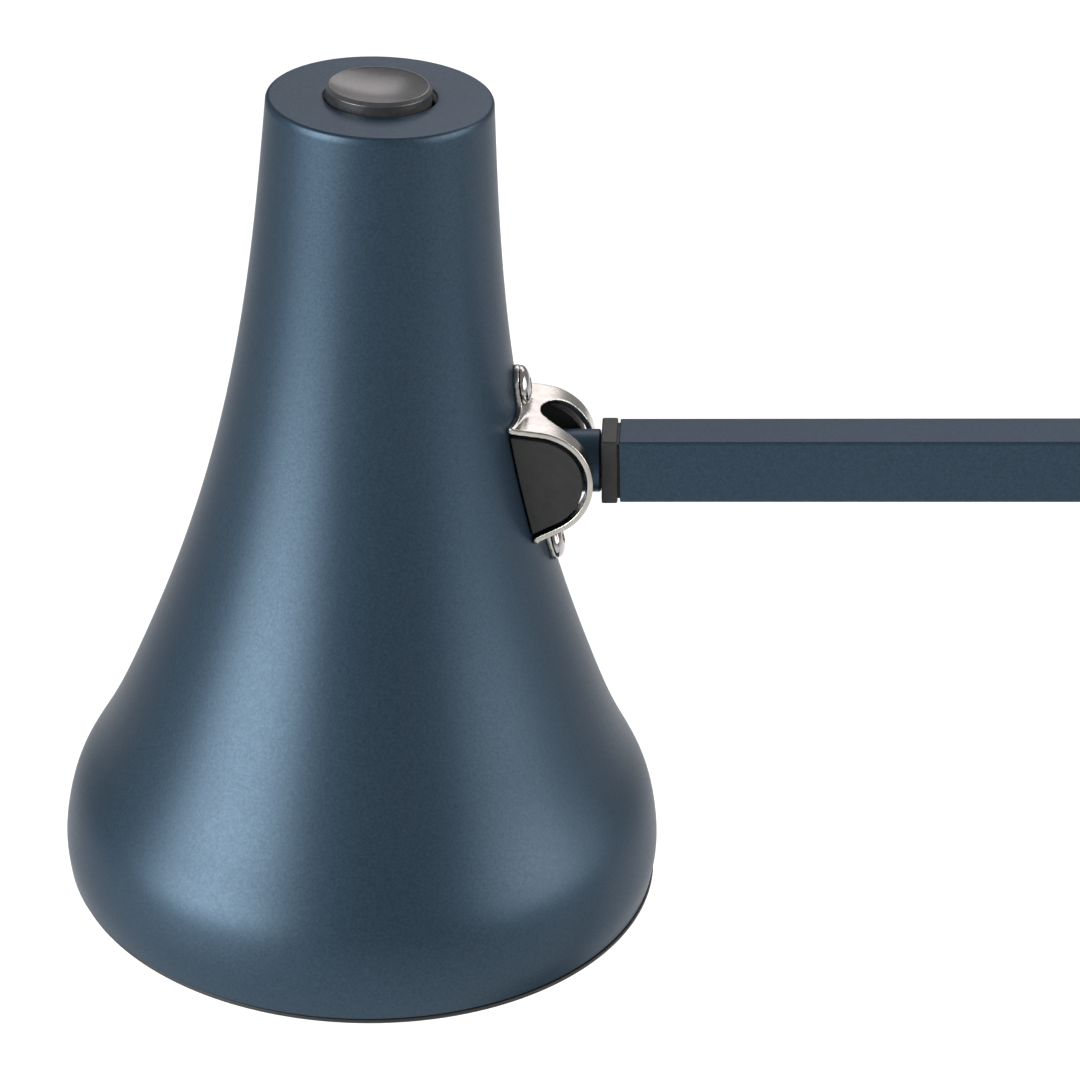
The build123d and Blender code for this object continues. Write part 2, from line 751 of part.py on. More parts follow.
def swivel_stem():
    """The round stem: a ball end at the pivot, and a spigot that turns in the arm's plug."""
    stem = Sphere(STEM_RADIUS) + rod_x(STEM_RADIUS, 0, COLLAR_START - 0.15)
    stem += rod_x(SPIGOT_RADIUS, 5, 27.2)
    groove = rod_x(SPIGOT_RADIUS + 1, 26.0, 26.6) - rod_x(SPIGOT_RADIUS - 0.4, 25.5, 27)
    stem = stem - groove - rod_x(STEM_BORE, -8, 40)
    for side in (-1, 1):
        low, high = sorted((side * 2.4, side * 6))
        stem -= rod_y(PIVOT_PIN_RADIUS + BOLT_FIT, low, high)
    return one(stem)


def stem_clip():
    """The spring clip in the spigot's groove."""
    clip = rod_x(SPIGOT_RADIUS + 0.9, 26.05, 26.55) - rod_x(SPIGOT_RADIUS - 0.35, 25, 28)
    clip -= block((25, -1.6, 0), (28, 1.6, 6))
    return one(clip)


def save(name, shapes, place=None):
    """Write one node's solids, in the lamp's frame, as a STEP file."""
    solids = shapes if isinstance(shapes, list) else [shapes]
    moved = [s if place is None else place * s for s in solids]
    whole = moved[0] if len(moved) == 1 else Compound(children=moved)
    export_step(whole, f"parts/{name}.step")


def save_base():
    """The base and the bolt the bracket turns on."""
    save("base_cover", base_cover())
    save("base_weight", base_weight())
    save("base_plate", base_plate())
    save("plate_screws", plate_screws())
    save("base_pad", base_pad())
    save("inlet_grommet", inlet_grommet())
    save("spindle", spindle())
    save("swivel_washer", one(ring(19, SPINDLE_RADIUS + 0.1, BASE_TOP, BRACKET_FLOOR)))
    save("spindle_washer", one(ring(5.5, SPINDLE_RADIUS + 0.1, 21.4, 22.4)))
    save("spindle_nut", one(hexagon(10, 22.4, 27.4, SPINDLE_RADIUS)))


def save_fork():
    """The turning bracket on the base with its fasteners."""
    x, z = LOWER_PIVOT
    pivots = [(x, z), (x + LINK_OFFSET, z)]
    anchor = (x + LOWER_ANCHOR[0], z + LOWER_ANCHOR[1])
    save("swivel_bracket", swivel_bracket())
    save("bracket_bolts", [pivot_bolt(p) for p in pivots])
    save("bracket_nuts", [pivot_nut(p) for p in pivots])
    save("bracket_washers", [w for p in pivots for w in pivot_washers(p)])
    save("lower_anchor_pin", anchor_pin(anchor))
    save("lower_anchor_spacer", anchor_spacer(anchor))


def save_lower_arm():
    """The lower arm, the link behind it and the lower springs."""
    plug, tube_start = eye_plug()
    tube = arm_tube(tube_start, LOWER_LENGTH - tube_start)
    place = LOWER_AT * Rot(0, -90, 0)
    save("lower_tube", drilled(tube, LOWER_SPRING_AT), place)
    save("lower_bottom_plug", plug, place)
    save("lower_top_plug", turned_end(plug, LOWER_LENGTH), place)
    save("lower_spring_pin", cross_pin(LOWER_SPRING_AT), place)
    eye = link_eye()
    link_place = LINK_AT * Rot(0, -90, 0)
    save("link_rod", link_rod(), link_place)
    save("link_eyes", [eye, turned_end(eye, LOWER_LENGTH)], link_place)
    lean = math.radians(LOWER_LEAN)
    start = (LOWER_PIVOT[0] + LOWER_ANCHOR[0], LOWER_PIVOT[1] + LOWER_ANCHOR[1])
    end = (LOWER_SPRING_AT * math.sin(lean), LOWER_PIVOT[1] + LOWER_SPRING_AT * math.cos(lean))
    save("lower_springs", spring_pair(start, end))


def save_elbow():
    """The bracket that joins the two arms."""
    pivots = [LOWER_TOP, (LOWER_TOP[0] + LINK_OFFSET, LOWER_TOP[1]), ELBOW]
    anchor = (ELBOW[0] + UPPER_ANCHOR[0], ELBOW[1] + UPPER_ANCHOR[1])
    save("elbow_plate_near", elbow_plate(-1))
    save("elbow_plate_far", elbow_plate(1))
    save("elbow_bolts", [pivot_bolt(p) for p in pivots])
    save("elbow_nuts", [pivot_nut(p) for p in pivots])
    save("elbow_washers", [w for p in pivots for w in pivot_washers(p)])
    save("upper_anchor_pin", anchor_pin(anchor))
    save("upper_anchor_spacer", anchor_spacer(anchor))


def save_upper_arm():
    """The upper arm, its springs and the stem that turns in its end."""
    plug, tube_start = eye_plug()
    tube = arm_tube(tube_start, UPPER_LENGTH - tube_start)
    at = UPPER_LENGTH - UPPER_SPRING_AT
    save("upper_tube", drilled(tube, at), UPPER_AT)
    save("upper_front_plug", front_plug(), UPPER_AT)
    save("upper_rear_plug", turned_end(plug, UPPER_LENGTH), UPPER_AT)
    save("upper_spring_pin", cross_pin(at), UPPER_AT)
    rise = math.radians(ARM_RISE)
    start = (ELBOW[0] + UPPER_ANCHOR[0], ELBOW[1] + UPPER_ANCHOR[1])
    end = (ELBOW[0] - UPPER_SPRING_AT * math.cos(rise), ELBOW[1] - UPPER_SPRING_AT * math.sin(rise))
    save("upper_springs", spring_pair(start, end))
    save("swivel_stem", swivel_stem(), STEM_AT)
    save("stem_clip", stem_clip(), STEM_AT)


def save_head():
    """The shade, what it holds, and the strap and cheeks at the pivot."""
    save("shade", shade(), HEAD_AT)
    save("rim_ring", rim_ring(), HEAD_AT)
    save("head_strap", head_strap(), HEAD_AT)
    save("cheek_near", cheek(-1), HEAD_AT)
    save("cheek_far", cheek(1), HEAD_AT)
    save("tilt_pins", [tilt_pin(-1), tilt_pin(1)], HEAD_AT)
    save("strap_screws", [strap_screw(TOP_SCREW), strap_screw(BOTTOM_SCREW)], HEAD_AT)
    nuts = [strap_nut(TOP_SCREW, 2.7), strap_nut(BOTTOM_SCREW, 1.4)]
    save("strap_nuts", nuts, HEAD_AT)
    save("led_bracket", led_bracket(), HEAD_AT)
    save("bracket_screw", bracket_screw(), HEAD_AT)
    save("heat_sink", heat_sink(), HEAD_AT)
    save("led_board", led_board(), HEAD_AT)
    save("led_chips", led_chips(), HEAD_AT)
    save("reflector", reflector(), HEAD_AT)
    save("diffuser", diffuser(), HEAD_AT)
    save("diffuser_ring", diffuser_ring(), HEAD_AT)
    save("switch_body", switch_body(), HEAD_AT)
    save("switch_terminals", switch_terminals(), HEAD_AT)
    save("button", button(), HEAD_AT)
    save("button_spring", button_spring(), HEAD_AT)


os.makedirs("parts", exist_ok=True)
save_base()
save_fork()
save_lower_arm()
save_elbow()
save_upper_arm()
save_head()
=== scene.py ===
import json
import math

import bmesh
import bpy
import numpy as np
from mathutils import Matrix, Vector


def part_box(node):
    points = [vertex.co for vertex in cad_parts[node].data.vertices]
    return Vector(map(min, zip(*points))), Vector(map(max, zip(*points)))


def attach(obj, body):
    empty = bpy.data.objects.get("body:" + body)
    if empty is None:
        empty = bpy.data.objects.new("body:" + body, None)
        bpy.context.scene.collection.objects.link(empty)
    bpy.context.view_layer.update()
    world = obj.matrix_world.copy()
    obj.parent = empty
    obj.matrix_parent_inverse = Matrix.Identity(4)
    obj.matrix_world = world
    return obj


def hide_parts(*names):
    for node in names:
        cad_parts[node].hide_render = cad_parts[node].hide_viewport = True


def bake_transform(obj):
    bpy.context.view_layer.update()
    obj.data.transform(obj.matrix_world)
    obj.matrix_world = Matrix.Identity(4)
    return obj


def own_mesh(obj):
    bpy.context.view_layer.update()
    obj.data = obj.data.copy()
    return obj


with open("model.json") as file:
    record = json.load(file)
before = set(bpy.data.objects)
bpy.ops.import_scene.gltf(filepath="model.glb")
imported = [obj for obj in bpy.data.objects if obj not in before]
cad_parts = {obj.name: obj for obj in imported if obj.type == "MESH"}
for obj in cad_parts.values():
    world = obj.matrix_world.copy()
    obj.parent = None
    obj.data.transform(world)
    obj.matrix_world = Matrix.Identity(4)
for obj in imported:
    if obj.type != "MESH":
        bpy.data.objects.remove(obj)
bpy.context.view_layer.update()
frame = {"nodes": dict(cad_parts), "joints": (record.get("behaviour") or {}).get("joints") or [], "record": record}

# The looks of the architect desk lamp. Sub-assemblies are drawn in millimetres in frames of their
# own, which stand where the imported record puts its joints, and are then moved into the lamp.
MM = 0.001
JOINTS = {j["name"]: j for j in frame["joints"]}

# Head, in its own frame: heights from the rim, X towards the arm
SHADE_PROFILE = [
    (47.5, 0.0),
    (48.0, 4.0),
    (47.6, 9.0),
    (45.97, 15.0),
    (42.8, 21.0),
    (36.87, 34.0),
    (30.23, 52.0),
    (23.4, 77.0),
    (18.68, 107.0),
    (16.7, 131.0),
]
SHADE_HEIGHT = 131.0
SHADE_WALL = 1.25
CAP_THICKNESS = 1.5
CAP_EDGE = 0.6
RIM_EDGE = 0.3
WINDOW_HALF = 5.4
WINDOW_RISE, WINDOW_DROP = 1.6, 0.1
RING_RADII = (44.7, 45.8, 47.45)
RING_HEIGHTS = (-0.7, -0.02, 4.6)
RING_SHIFT = 0.35
DISC_RADIUS = 30.3
DISC_LOW, DISC_HIGH = 36.4, 37.95
BUTTON_HOLE = 8.3
BUTTON_LIP = 0.25
BUTTON_RADIUS = 7.8
BUTTON_TOP = 132.8
BUTTON_SHIFT = -0.2
BUTTON_UNDERSIDE = 130.2
PIVOT_X, PIVOT_Z = 25.3, 72.9
SADDLE_RADIUS = 9.0
SADDLE_THICKNESS = 0.9
SADDLE_HALF = 8.5
SADDLE_TOP, SADDLE_BOTTOM = 85.5, -59.5
SLOT_RADIUS = 5.2
SLOT_TOP, SLOT_BOTTOM = 52.0, -26.0
TOP_SCREW_Z, BOTTOM_SCREW_Z = 85.6, 59.5
TOP_SCREW_TILT, BOTTOM_SCREW_TILT = 10.2, 16.5
TAB_RADIUS = 3.2
TAB_NECK = 2.9
TAB_DROP = 2.0
TAB_CURVE = 3.5
WALL_STEP = 0.02
CHEEK_RADIUS = 7.45
CHEEK_INNER, CHEEK_OUTER = 5.05, 8.35
CHEEK_GAP = 0.3
STEM_RADIUS = 4.85
STEM_BORE = 1.6
STEM_END = 10.0
SPIGOT_RADIUS = 3.0
SPIGOT_END = 27.2

# Arms and brackets
TUBE_HALF = 5.0
TUBE_WALL = 0.8
TUBE_EDGE = 0.55
TUBE_BREAK = 0.12
COLLAR_START = 10.15
COLLAR_LENGTH = 2.45
COLLAR_HALF = 5.125
NECK_LENGTH = 0.35
NECK_HALF = 4.5
TONGUE_LENGTH = 8
SHANK_HALF = 4.5
EYE_RADIUS = 5.4
EYE_HALF = 4.9
BOLT_BORE = 2.05
PLATE_INNER, PLATE_OUTER = 6.0, 7.4
LINK_OFFSET = 16.0
LINK_RADIUS = 2.3
PIN_RADIUS = 1.75
PIN_HALF = 17.0
SPRING_Y = 14.4
SPRING_RADIUS = 2.55
WIRE_RADIUS = 0.45
SPRING_PITCH = 1.6
ANCHOR_HOOK, ARM_HOOK = 26.0, 11.0
LOWER_ANCHOR = (14.0, -12.0)
UPPER_ANCHOR = (4.0, 16.0)
LOWER_SPRING_AT = 100.0
UPPER_SPRING_AT = 75.0
BASE_WALL, BASE_TOP_WALL = 2.2, 1.6
SHARP_ANGLE = 32.0

# The camera, placed from the head's pivot in metres, with its turn in degrees
CAMERA_OFFSET = Vector((0.01848, -0.47738, 0.20495))
CAMERA_AZIMUTH, CAMERA_DOWN, CAMERA_ROLL = -2.12, 24.57, 0.93
CAMERA_LENS = 112.63


# ---- frames ----


def place(origin, x_axis, y_axis):
    """Matrix from millimetres in a sub-assembly's frame to metres in the lamp's."""
    x = Vector(x_axis).normalized()
    y = Vector(y_axis)
    y = (y - x * y.dot(x)).normalized()
    turn = Matrix((x, y, x.cross(y))).transposed().to_4x4()
    return Matrix.Translation(origin) @ turn @ Matrix.Scale(MM, 4)


WORLD_Y = Vector((0, 1, 0))
HEAD_PIVOT = Vector(JOINTS["head_tilt"]["pos_m"])
PIN_AXIS = Vector(JOINTS["head_tilt"]["axis"])
ARM_AXIS = Vector(JOINTS["head_swivel"]["axis"])
SHADE_AXIS = -Vector(JOINTS["button_press"]["axis"])
ELBOW = Vector(JOINTS["upper_arm_tilt"]["pos_m"])
LOWER_PIVOT = Vector(JOINTS["lower_arm_tilt"]["pos_m"])
LOWER_TOP = Vector(JOINTS["elbow_level"]["pos_m"])
LINK_PIVOT = Vector(JOINTS["link_swing"]["pos_m"])
LOWER_LENGTH = (LOWER_TOP - LOWER_PIVOT).length / MM
UPPER_LENGTH = (ELBOW - HEAD_PIVOT).length / MM

HEAD_X = PIN_AXIS.cross(SHADE_AXIS)
HEAD_ORIGIN = HEAD_PIVOT - HEAD_X * PIVOT_X * MM - SHADE_AXIS * PIVOT_Z * MM
HEAD = place(HEAD_ORIGIN, HEAD_X, PIN_AXIS)
STEM = place(HEAD_PIVOT, ARM_AXIS, PIN_AXIS)
UPPER = place(HEAD_PIVOT, ELBOW - HEAD_PIVOT, WORLD_Y)
LOWER = place(LOWER_PIVOT, LOWER_TOP - LOWER_PIVOT, WORLD_Y)
LINK = place(LINK_PIVOT, LOWER_TOP - LOWER_PIVOT, WORLD_Y)
LAMP = Matrix.Scale(MM, 4)


# ---- mesh tools ----


def new_piece(name, bm, matrix, sharp_angle=SHARP_ANGLE):
    """A mesh object from a bmesh in millimetres, smooth except at sharp edges, with even normals."""
    bmesh.ops.remove_doubles(bm, verts=bm.verts, dist=1e-5)
    bmesh.ops.recalc_face_normals(bm, faces=bm.faces)
    mesh = bpy.data.meshes.new(name)
    bm.to_mesh(mesh)
    bm.free()
    mesh.transform(matrix)
    obj = bpy.data.objects.new(name, mesh)
    bpy.context.scene.collection.objects.link(obj)
    smooth(obj, sharp_angle)
    weights = obj.modifiers.new("even_normals", "WEIGHTED_NORMAL")
    weights.keep_sharp = True
    return obj


def smooth(obj, sharp_angle=SHARP_ANGLE):
    """Smooth shading on every face, with a crease at each edge sharper than an angle."""
    for polygon in obj.data.polygons:
        polygon.use_smooth = True
    obj.data.set_sharp_from_angle(angle=math.radians(sharp_angle))


def dress(obj, body, slot, nodes=(), materials=()):
    """Gives a piece the slot's material unless others are given, parents it to its body, and hides the CAD nodes
    it stands in for.
    """
    obj.data.materials.clear()
    for m in materials or [SLOT_MATERIALS[slot]]:
        obj.data.materials.append(m)
    if body is not None:
        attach(obj, body)
    if nodes:
        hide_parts(*nodes)


def arc(cx, cy, radius, start, end, steps):
    """Points on an arc, in degrees, both ends included."""
    angles = np.radians(np.linspace(start, end, steps + 1))
    return [(cx + radius * math.cos(a), cy + radius * math.sin(a)) for a in angles]


def rounded(points, radius, steps=4, closed=True):
    """A polygon with its corners rounded. Radius may be one number or one per point."""
    count = len(points)
    radii = radius if isinstance(radius, (list, tuple)) else [radius] * count
    out = []
    for i, point in enumerate(points):
        if radii[i] <= 0 or (not closed and i in (0, count - 1)):
            out.append(tuple(point))
            continue
        p = Vector(point)
        a = Vector(points[i - 1]) - p
        b = Vector(points[(i + 1) % count]) - p
        half = a.angle(b) / 2
        if half > math.radians(89):
            out.append(tuple(point))
            continue
        reach = min(radii[i] / math.tan(half), 0.49 * a.length, 0.49 * b.length)
        r = reach * math.tan(half)
        centre = p + (a.normalized() + b.normalized()).normalized() * (r / math.sin(half))
        start = p + a.normalized() * reach - centre
        end = p + b.normalized() * reach - centre
        turn = start.angle_signed(end)
        for k in range(steps + 1):
            t = -turn * k / steps
            c, s = math.cos(t), math.sin(t)
            out.append((centre.x + start.x * c - start.y * s, centre.y + start.x * s + start.y * c))
    return out


def lathe(bm, profile, segments=96, axis="Z", at=(0, 0, 0), closed=True):
    """Turns a profile of radius and height about an axis through a point."""
    rings = []
    for r, z in profile:
        if r < 1e-6:
            rings.append([bm.verts.new(turned(0, 0, z, axis, at))])
            continue
        ring = []
        for k in range(segments):
            a = 2 * math.pi * k / segments
            ring.append(bm.verts.new(turned(r * math.cos(a), r * math.sin(a), z, axis, at)))
        rings.append(ring)
    last = len(rings) if closed else len(rings) - 1
    for i in range(last):
        a, b = rings[i], rings[(i + 1) % len(rings)]
        for k in range(segments):
            n = (k + 1) % segments
            corners = [a[k % len(a)], a[n % len(a)], b[n % len(b)], b[k % len(b)]]
            unique = list(dict.fromkeys(corners))
            if len(unique) > 2:
                bm.faces.new(unique)


def turned(x, y, z, axis, at):
    """A point of a turned form, with its axis laid along X, Y or Z."""
    local = {"Z": (x, y, z), "X": (z, x, y), "Y": (y, z, x)}[axis]
    return tuple(local[i] + at[i] for i in range(3))


def prism(bm, outline, low, high, plane="XZ", bevel=0.25, hole=None):
    """An outline made solid between two values across its plane, with softened edges."""
    part = bmesh.new()
    loops = [outline] if hole is None else [outline, hole]
    sides = []
    for level in (low, high):
        rings = []
        for loop in loops:
            rings.append([part.verts.new(lifted(u, v, level, plane)) for u, v in loop])
        sides.append(rings)
    for k, loop in enumerate(loops):
        a, b = sides[0][k], sides[1][k]
        for i in range(len(loop)):
            n = (i + 1) % len(loop)
            part.faces.new((a[i], a[n], b[n], b[i]))
    for rings in sides:
        if hole is None:
            part.faces.new(rings[0])
        else:
            edges = []
            for ring in rings:
                for i in range(len(ring)):
                    edges.append(part.edges.get((ring[i], ring[(i + 1) % len(ring)])))
            bmesh.ops.triangle_fill(part, edges=edges, use_beauty=True)
    bmesh.ops.recalc_face_normals(part, faces=part.faces)
    if bevel:
        soften(part, bevel)
    merge(bm, part)


def lifted(u, v, level, plane):
    """A point of an outline in a named plane, at a level across it."""
    return {"XZ": (u, level, v), "YZ": (level, u, v), "XY": (u, v, level)}[plane]


def soften(bm, width, angle=40.0, segments=3):
    """Bevels every edge sharper than an angle."""
    limit = math.radians(angle)
    edges = [e for e in bm.edges if e.is_manifold and e.calc_face_angle(0) > limit]
    bmesh.ops.bevel(bm, geom=edges, offset=width, segments=segments, profile=0.5, affect="EDGES")


def merge(bm, part):
    """Adds one bmesh to another."""
    mesh = bpy.data.meshes.new("part")
    part.to_mesh(mesh)
    part.free()
    bm.from_mesh(mesh)
    bpy.data.meshes.remove(mesh)


def wire(bm, points, radius, sides=12):
    """A round wire along a line of points, with closed ends."""
    pts = [Vector(p) for p in points]
    tangents = []
    for i in range(len(pts)):
        a, b = pts[max(i - 1, 0)], pts[min(i + 1, len(pts) - 1)]
        tangents.append((b - a).normalized())
    normal = tangents[0].orthogonal().normalized()
    rings = []
    for i, (p, t) in enumerate(zip(pts, tangents)):
        if i:
            normal = tangents[i - 1].rotation_difference(t) @ normal
            normal = (normal - t * normal.dot(t)).normalized()
        side = t.cross(normal)
        ring = []
        for k in range(sides):
            a = 2 * math.pi * k / sides
            ring.append(bm.verts.new(p + (normal * math.cos(a) + side * math.sin(a)) * radius))
        rings.append(ring)
    for a, b in zip(rings, rings[1:]):
        for k in range(sides):
            n = (k + 1) % sides
            bm.faces.new((a[k], a[n], b[n], b[k]))
    bm.faces.new(rings[0])
    bm.faces.new(rings[-1])


def cut(obj, cutters):
    """Takes cutters, each a matrix and a bmesh, out of a piece."""
    for matrix, part in cutters:
        bmesh.ops.recalc_face_normals(part, faces=part.faces)
        mesh = bpy.data.meshes.new("cutter")
        part.to_mesh(mesh)
        part.free()
        mesh.transform(matrix)
        tool = bpy.data.objects.new("cutter", mesh)
        bpy.context.scene.collection.objects.link(tool)
        change = obj.modifiers.new("cut", "BOOLEAN")
        change.object = tool
        change.operation = "DIFFERENCE"
        change.solver = "EXACT"
        apply_modifier(obj, change)
        bpy.data.objects.remove(tool)
        bpy.data.meshes.remove(mesh)


def apply_modifier(obj, modifier):
    """Bakes one modifier into a piece's mesh, without the others, and drops it."""
    others = [m for m in obj.modifiers if m != modifier]
    shown = [m.show_viewport for m in others]
    for m in others:
        m.show_viewport = False
    bpy.context.view_layer.update()
    graph = bpy.context.evaluated_depsgraph_get()
    mesh = bpy.data.meshes.new_from_object(obj.evaluated_get(graph))
    old = obj.data
    obj.modifiers.remove(modifier)
    obj.data = mesh
    mesh.name = old.name
    bpy.data.meshes.remove(old)
    for m, was in zip(others, shown):
        m.show_viewport = was


def spline(points):
    """A smooth function of height through points of radius and height."""
    r = np.array([p[0] for p in points])
    z = np.array([p[1] for p in points])
    h = np.diff(z)
    n = len(z)
    a = np.zeros((n, n))
    b = np.zeros(n)
    a[0, 0] = a[-1, -1] = 1
    for i in range(1, n - 1):
        a[i, i - 1 : i + 2] = h[i - 1], 2 * (h[i - 1] + h[i]), h[i]
        b[i] = 3 * ((r[i + 1] - r[i]) / h[i] - (r[i] - r[i - 1]) / h[i - 1])
    c = np.linalg.solve(a, b)

    def value(height):
        i = int(np.clip(np.searchsorted(z, height) - 1, 0, n - 2))
        t = height - z[i]
        slope = (r[i + 1] - r[i]) / h[i] - h[i] * (2 * c[i] + c[i + 1]) / 3
        return float(r[i] + slope * t + c[i] * t**2 + (c[i + 1] - c[i]) / (3 * h[i]) * t**3)

    return value


shade_radius = spline(SHADE_PROFILE)


# ---- materials ----


class Shader:
    """A material with one Principled shader and short ways to add procedural detail."""

    def __init__(self, name, colour, roughness, metallic=0.0, **sockets):
        self.material = bpy.data.materials.new(name)
        self.material.use_nodes = True
        self.tree = self.material.node_tree
        self.bsdf = self.tree.nodes["Principled BSDF"]
        self.bsdf.inputs["Base Color"].default_value = (*colour, 1)
        self.bsdf.inputs["Roughness"].default_value = roughness
        self.bsdf.inputs["Metallic"].default_value = metallic
        for socket, value in sockets.items():
            self.bsdf.inputs[socket.replace("_", " ")].default_value = value
        self.where = self.tree.nodes.new("ShaderNodeTexCoord").outputs["Object"]
        self.height = None

    def link(self, a, b):
        self.tree.links.new(a, b)

    def node(self, kind, **values):
        node = self.tree.nodes.new(kind)
        for key, value in values.items():
            setattr(node, key, value)
        return node

    def noise(self, size_mm, detail=3.0, stretch=None, distortion=0.0):
        """Noise from 0 to 1 with features of about this size."""
        node = self.node("ShaderNodeTexNoise")
        node.inputs["Scale"].default_value = 1 / (size_mm * MM)
        node.inputs["Detail"].default_value = detail
        node.inputs["Distortion"].default_value = distortion
        source = self.where
        if stretch:
            mapping = self.node("ShaderNodeMapping")
            mapping.inputs["Scale"].default_value = stretch
            self.link(source, mapping.inputs["Vector"])
            source = mapping.outputs["Vector"]
        self.link(source, node.inputs["Vector"])
        return node.outputs["Fac"]

    def ramp(self, source, low, high, start=0.3, end=0.7):
        """Turns noise into a colour or a grey between two values."""
        node = self.node("ShaderNodeValToRGB")
        for element, value, at in zip(node.color_ramp.elements, (low, high), (start, end)):
            element.color = (*value, 1) if isinstance(value, tuple) else (value, value, value, 1)
            element.position = at
        self.link(source, node.inputs["Fac"])
        return node.outputs["Color"]

    def mix(self, a, b, factor, blend="MIX"):
        node = self.node("ShaderNodeMix", data_type="RGBA", blend_type=blend)
        if isinstance(factor, float):
            node.inputs["Factor"].default_value = factor
        else:
            self.link(factor, node.inputs["Factor"])
        self.link(a, node.inputs["A"])
        self.link(b, node.inputs["B"])
        return node.outputs["Result"]

    def colour(self, source):
        self.link(source, self.bsdf.inputs["Base Color"])

    def rough(self, source):
        self.link(source, self.bsdf.inputs["Roughness"])

    def bump(self, source, depth_mm, strength=1.0):
        """Adds relief on top of what is there."""
        node = self.node("ShaderNodeBump")
        node.inputs["Strength"].default_value = strength
        node.inputs["Distance"].default_value = depth_mm * MM
        self.link(source, node.inputs["Height"])
        if self.height is not None:
            self.link(self.height, node.inputs["Normal"])
        self.height = node.outputs["Normal"]
        self.link(self.height, self.bsdf.inputs["Normal"])


def navy_paint():
    """Satin navy paint with a fine metallic fleck and a faint orange peel."""
    gloss = {"Coat_Weight": 0.26, "Coat_Roughness": 0.3, "Specular_IOR_Level": 0.2}
    gloss["Specular_Tint"] = (0.5, 0.5, 0.52, 1)
    s = Shader("navy_paint", (0.03, 0.055, 0.082), 0.42, 0.7, **gloss)
    fleck = s.ramp(s.noise(0.35, 4.0), (0.025, 0.047, 0.071), (0.036, 0.064, 0.094), 0.35, 0.68)
    broad = s.ramp(s.noise(30.0, 2.0), (0.94, 0.96, 0.98), (1.0, 1.0, 1.0))
    s.colour(s.mix(fleck, broad, 1.0, "MULTIPLY"))
    s.rough(s.ramp(s.noise(0.6, 3.0), 0.39, 0.47))
    s.bump(s.noise(0.28, 3.0), 0.006)
    s.bump(s.noise(2.2, 2.0), 0.010)
    return s.material


def white_paint():
    """The satin white inside of the shade."""
    s = Shader("white_paint", (0.8, 0.8, 0.79), 0.45, 0.0, Coat_Weight=0.15, Coat_Roughness=0.3)
    s.colour(s.ramp(s.noise(12.0, 3.0), (0.76, 0.76, 0.75), (0.83, 0.83, 0.82)))
    s.rough(s.ramp(s.noise(1.2, 3.0), 0.40, 0.52))
    s.bump(s.noise(0.5, 3.0), 0.008)
    return s.material


def charcoal():
    """Fine matt moulded plastic."""
    grey, roughness = 0.017, 0.5
    s = Shader("charcoal", (grey, grey, grey * 1.03), roughness, 0.0, Specular_IOR_Level=0.4)
    low = (grey * 0.85, grey * 0.85, grey * 0.88)
    high = (grey * 1.2, grey * 1.2, grey * 1.22)
    s.colour(s.ramp(s.noise(1.5, 4.0), low, high))
    s.rough(s.ramp(s.noise(0.4, 3.0), roughness - 0.07, roughness + 0.07))
    s.bump(s.noise(0.16, 2.0), 0.010)
    return s.material


def nickel():
    """Polished nickel plate, slightly warm, with faint polishing marks."""
    s = Shader("nickel", (0.72, 0.69, 0.65), 0.2, 1.0)
    s.colour(s.ramp(s.noise(3.0, 4.0), (0.46, 0.44, 0.41), (0.58, 0.555, 0.52)))
    s.rough(s.ramp(s.noise(0.5, 4.0, stretch=(1, 6, 1)), 0.14, 0.27))
    s.bump(s.noise(0.9, 3.0), 0.012)
    s.bump(s.noise(0.12, 2.0, stretch=(1, 8, 1)), 0.002)
    return s.material


def bare_steel(name, colour, roughness):
    """Zinc-plated or drawn steel."""
    s = Shader(name, colour, roughness, 1.0)
    low = tuple(c * 0.85 for c in colour)
    s.colour(s.ramp(s.noise(1.5, 4.0), low, colour))
    s.rough(s.ramp(s.noise(0.6, 4.0), roughness - 0.07, roughness + 0.1))
    s.bump(s.noise(0.2, 3.0), 0.004)
    return s.material


def chrome():
    """Bright plated screw heads."""
    s = Shader("chrome", (0.46, 0.45, 0.44), 0.1, 1.0)
    s.rough(s.ramp(s.noise(0.8, 4.0), 0.06, 0.16))
    s.bump(s.noise(1.0, 2.0), 0.006)
    return s.material


def button_plastic():
    """The cap button's satin charcoal."""
    s = Shader("button_charcoal", (0.03, 0.03, 0.032), 0.33, 0.0, Coat_Weight=0.5, Coat_Roughness=0.22)
    s.colour(s.ramp(s.noise(0.8, 4.0), (0.024, 0.024, 0.026), (0.038, 0.038, 0.041)))
    s.rough(s.ramp(s.noise(0.3, 3.0), 0.28, 0.38))
    s.bump(s.noise(0.18, 2.0), 0.004)
    return s.material


def rubber():
    """Matt black rubber."""
    s = Shader("rubber", (0.02, 0.02, 0.02), 0.8, 0.0, Specular_IOR_Level=0.3)
    s.colour(s.ramp(s.noise(2.0, 4.0), (0.016, 0.016, 0.016), (0.028, 0.028, 0.028)))
    s.rough(s.ramp(s.noise(1.0, 3.0), 0.72, 0.9))
    s.bump(s.noise(0.3, 3.0), 0.02)
    return s.material


def nylon():
    """Natural nylon washers."""
    s = Shader("nylon", (0.62, 0.60, 0.55), 0.4, 0.0, Subsurface_Weight=0.1, Subsurface_Scale=0.001)
    s.colour(s.ramp(s.noise(2.0, 3.0), (0.56, 0.54, 0.49), (0.66, 0.64, 0.59)))
    s.rough(s.ramp(s.noise(0.5, 3.0), 0.34, 0.48))
    s.bump(s.noise(0.3, 3.0), 0.006)
    return s.material


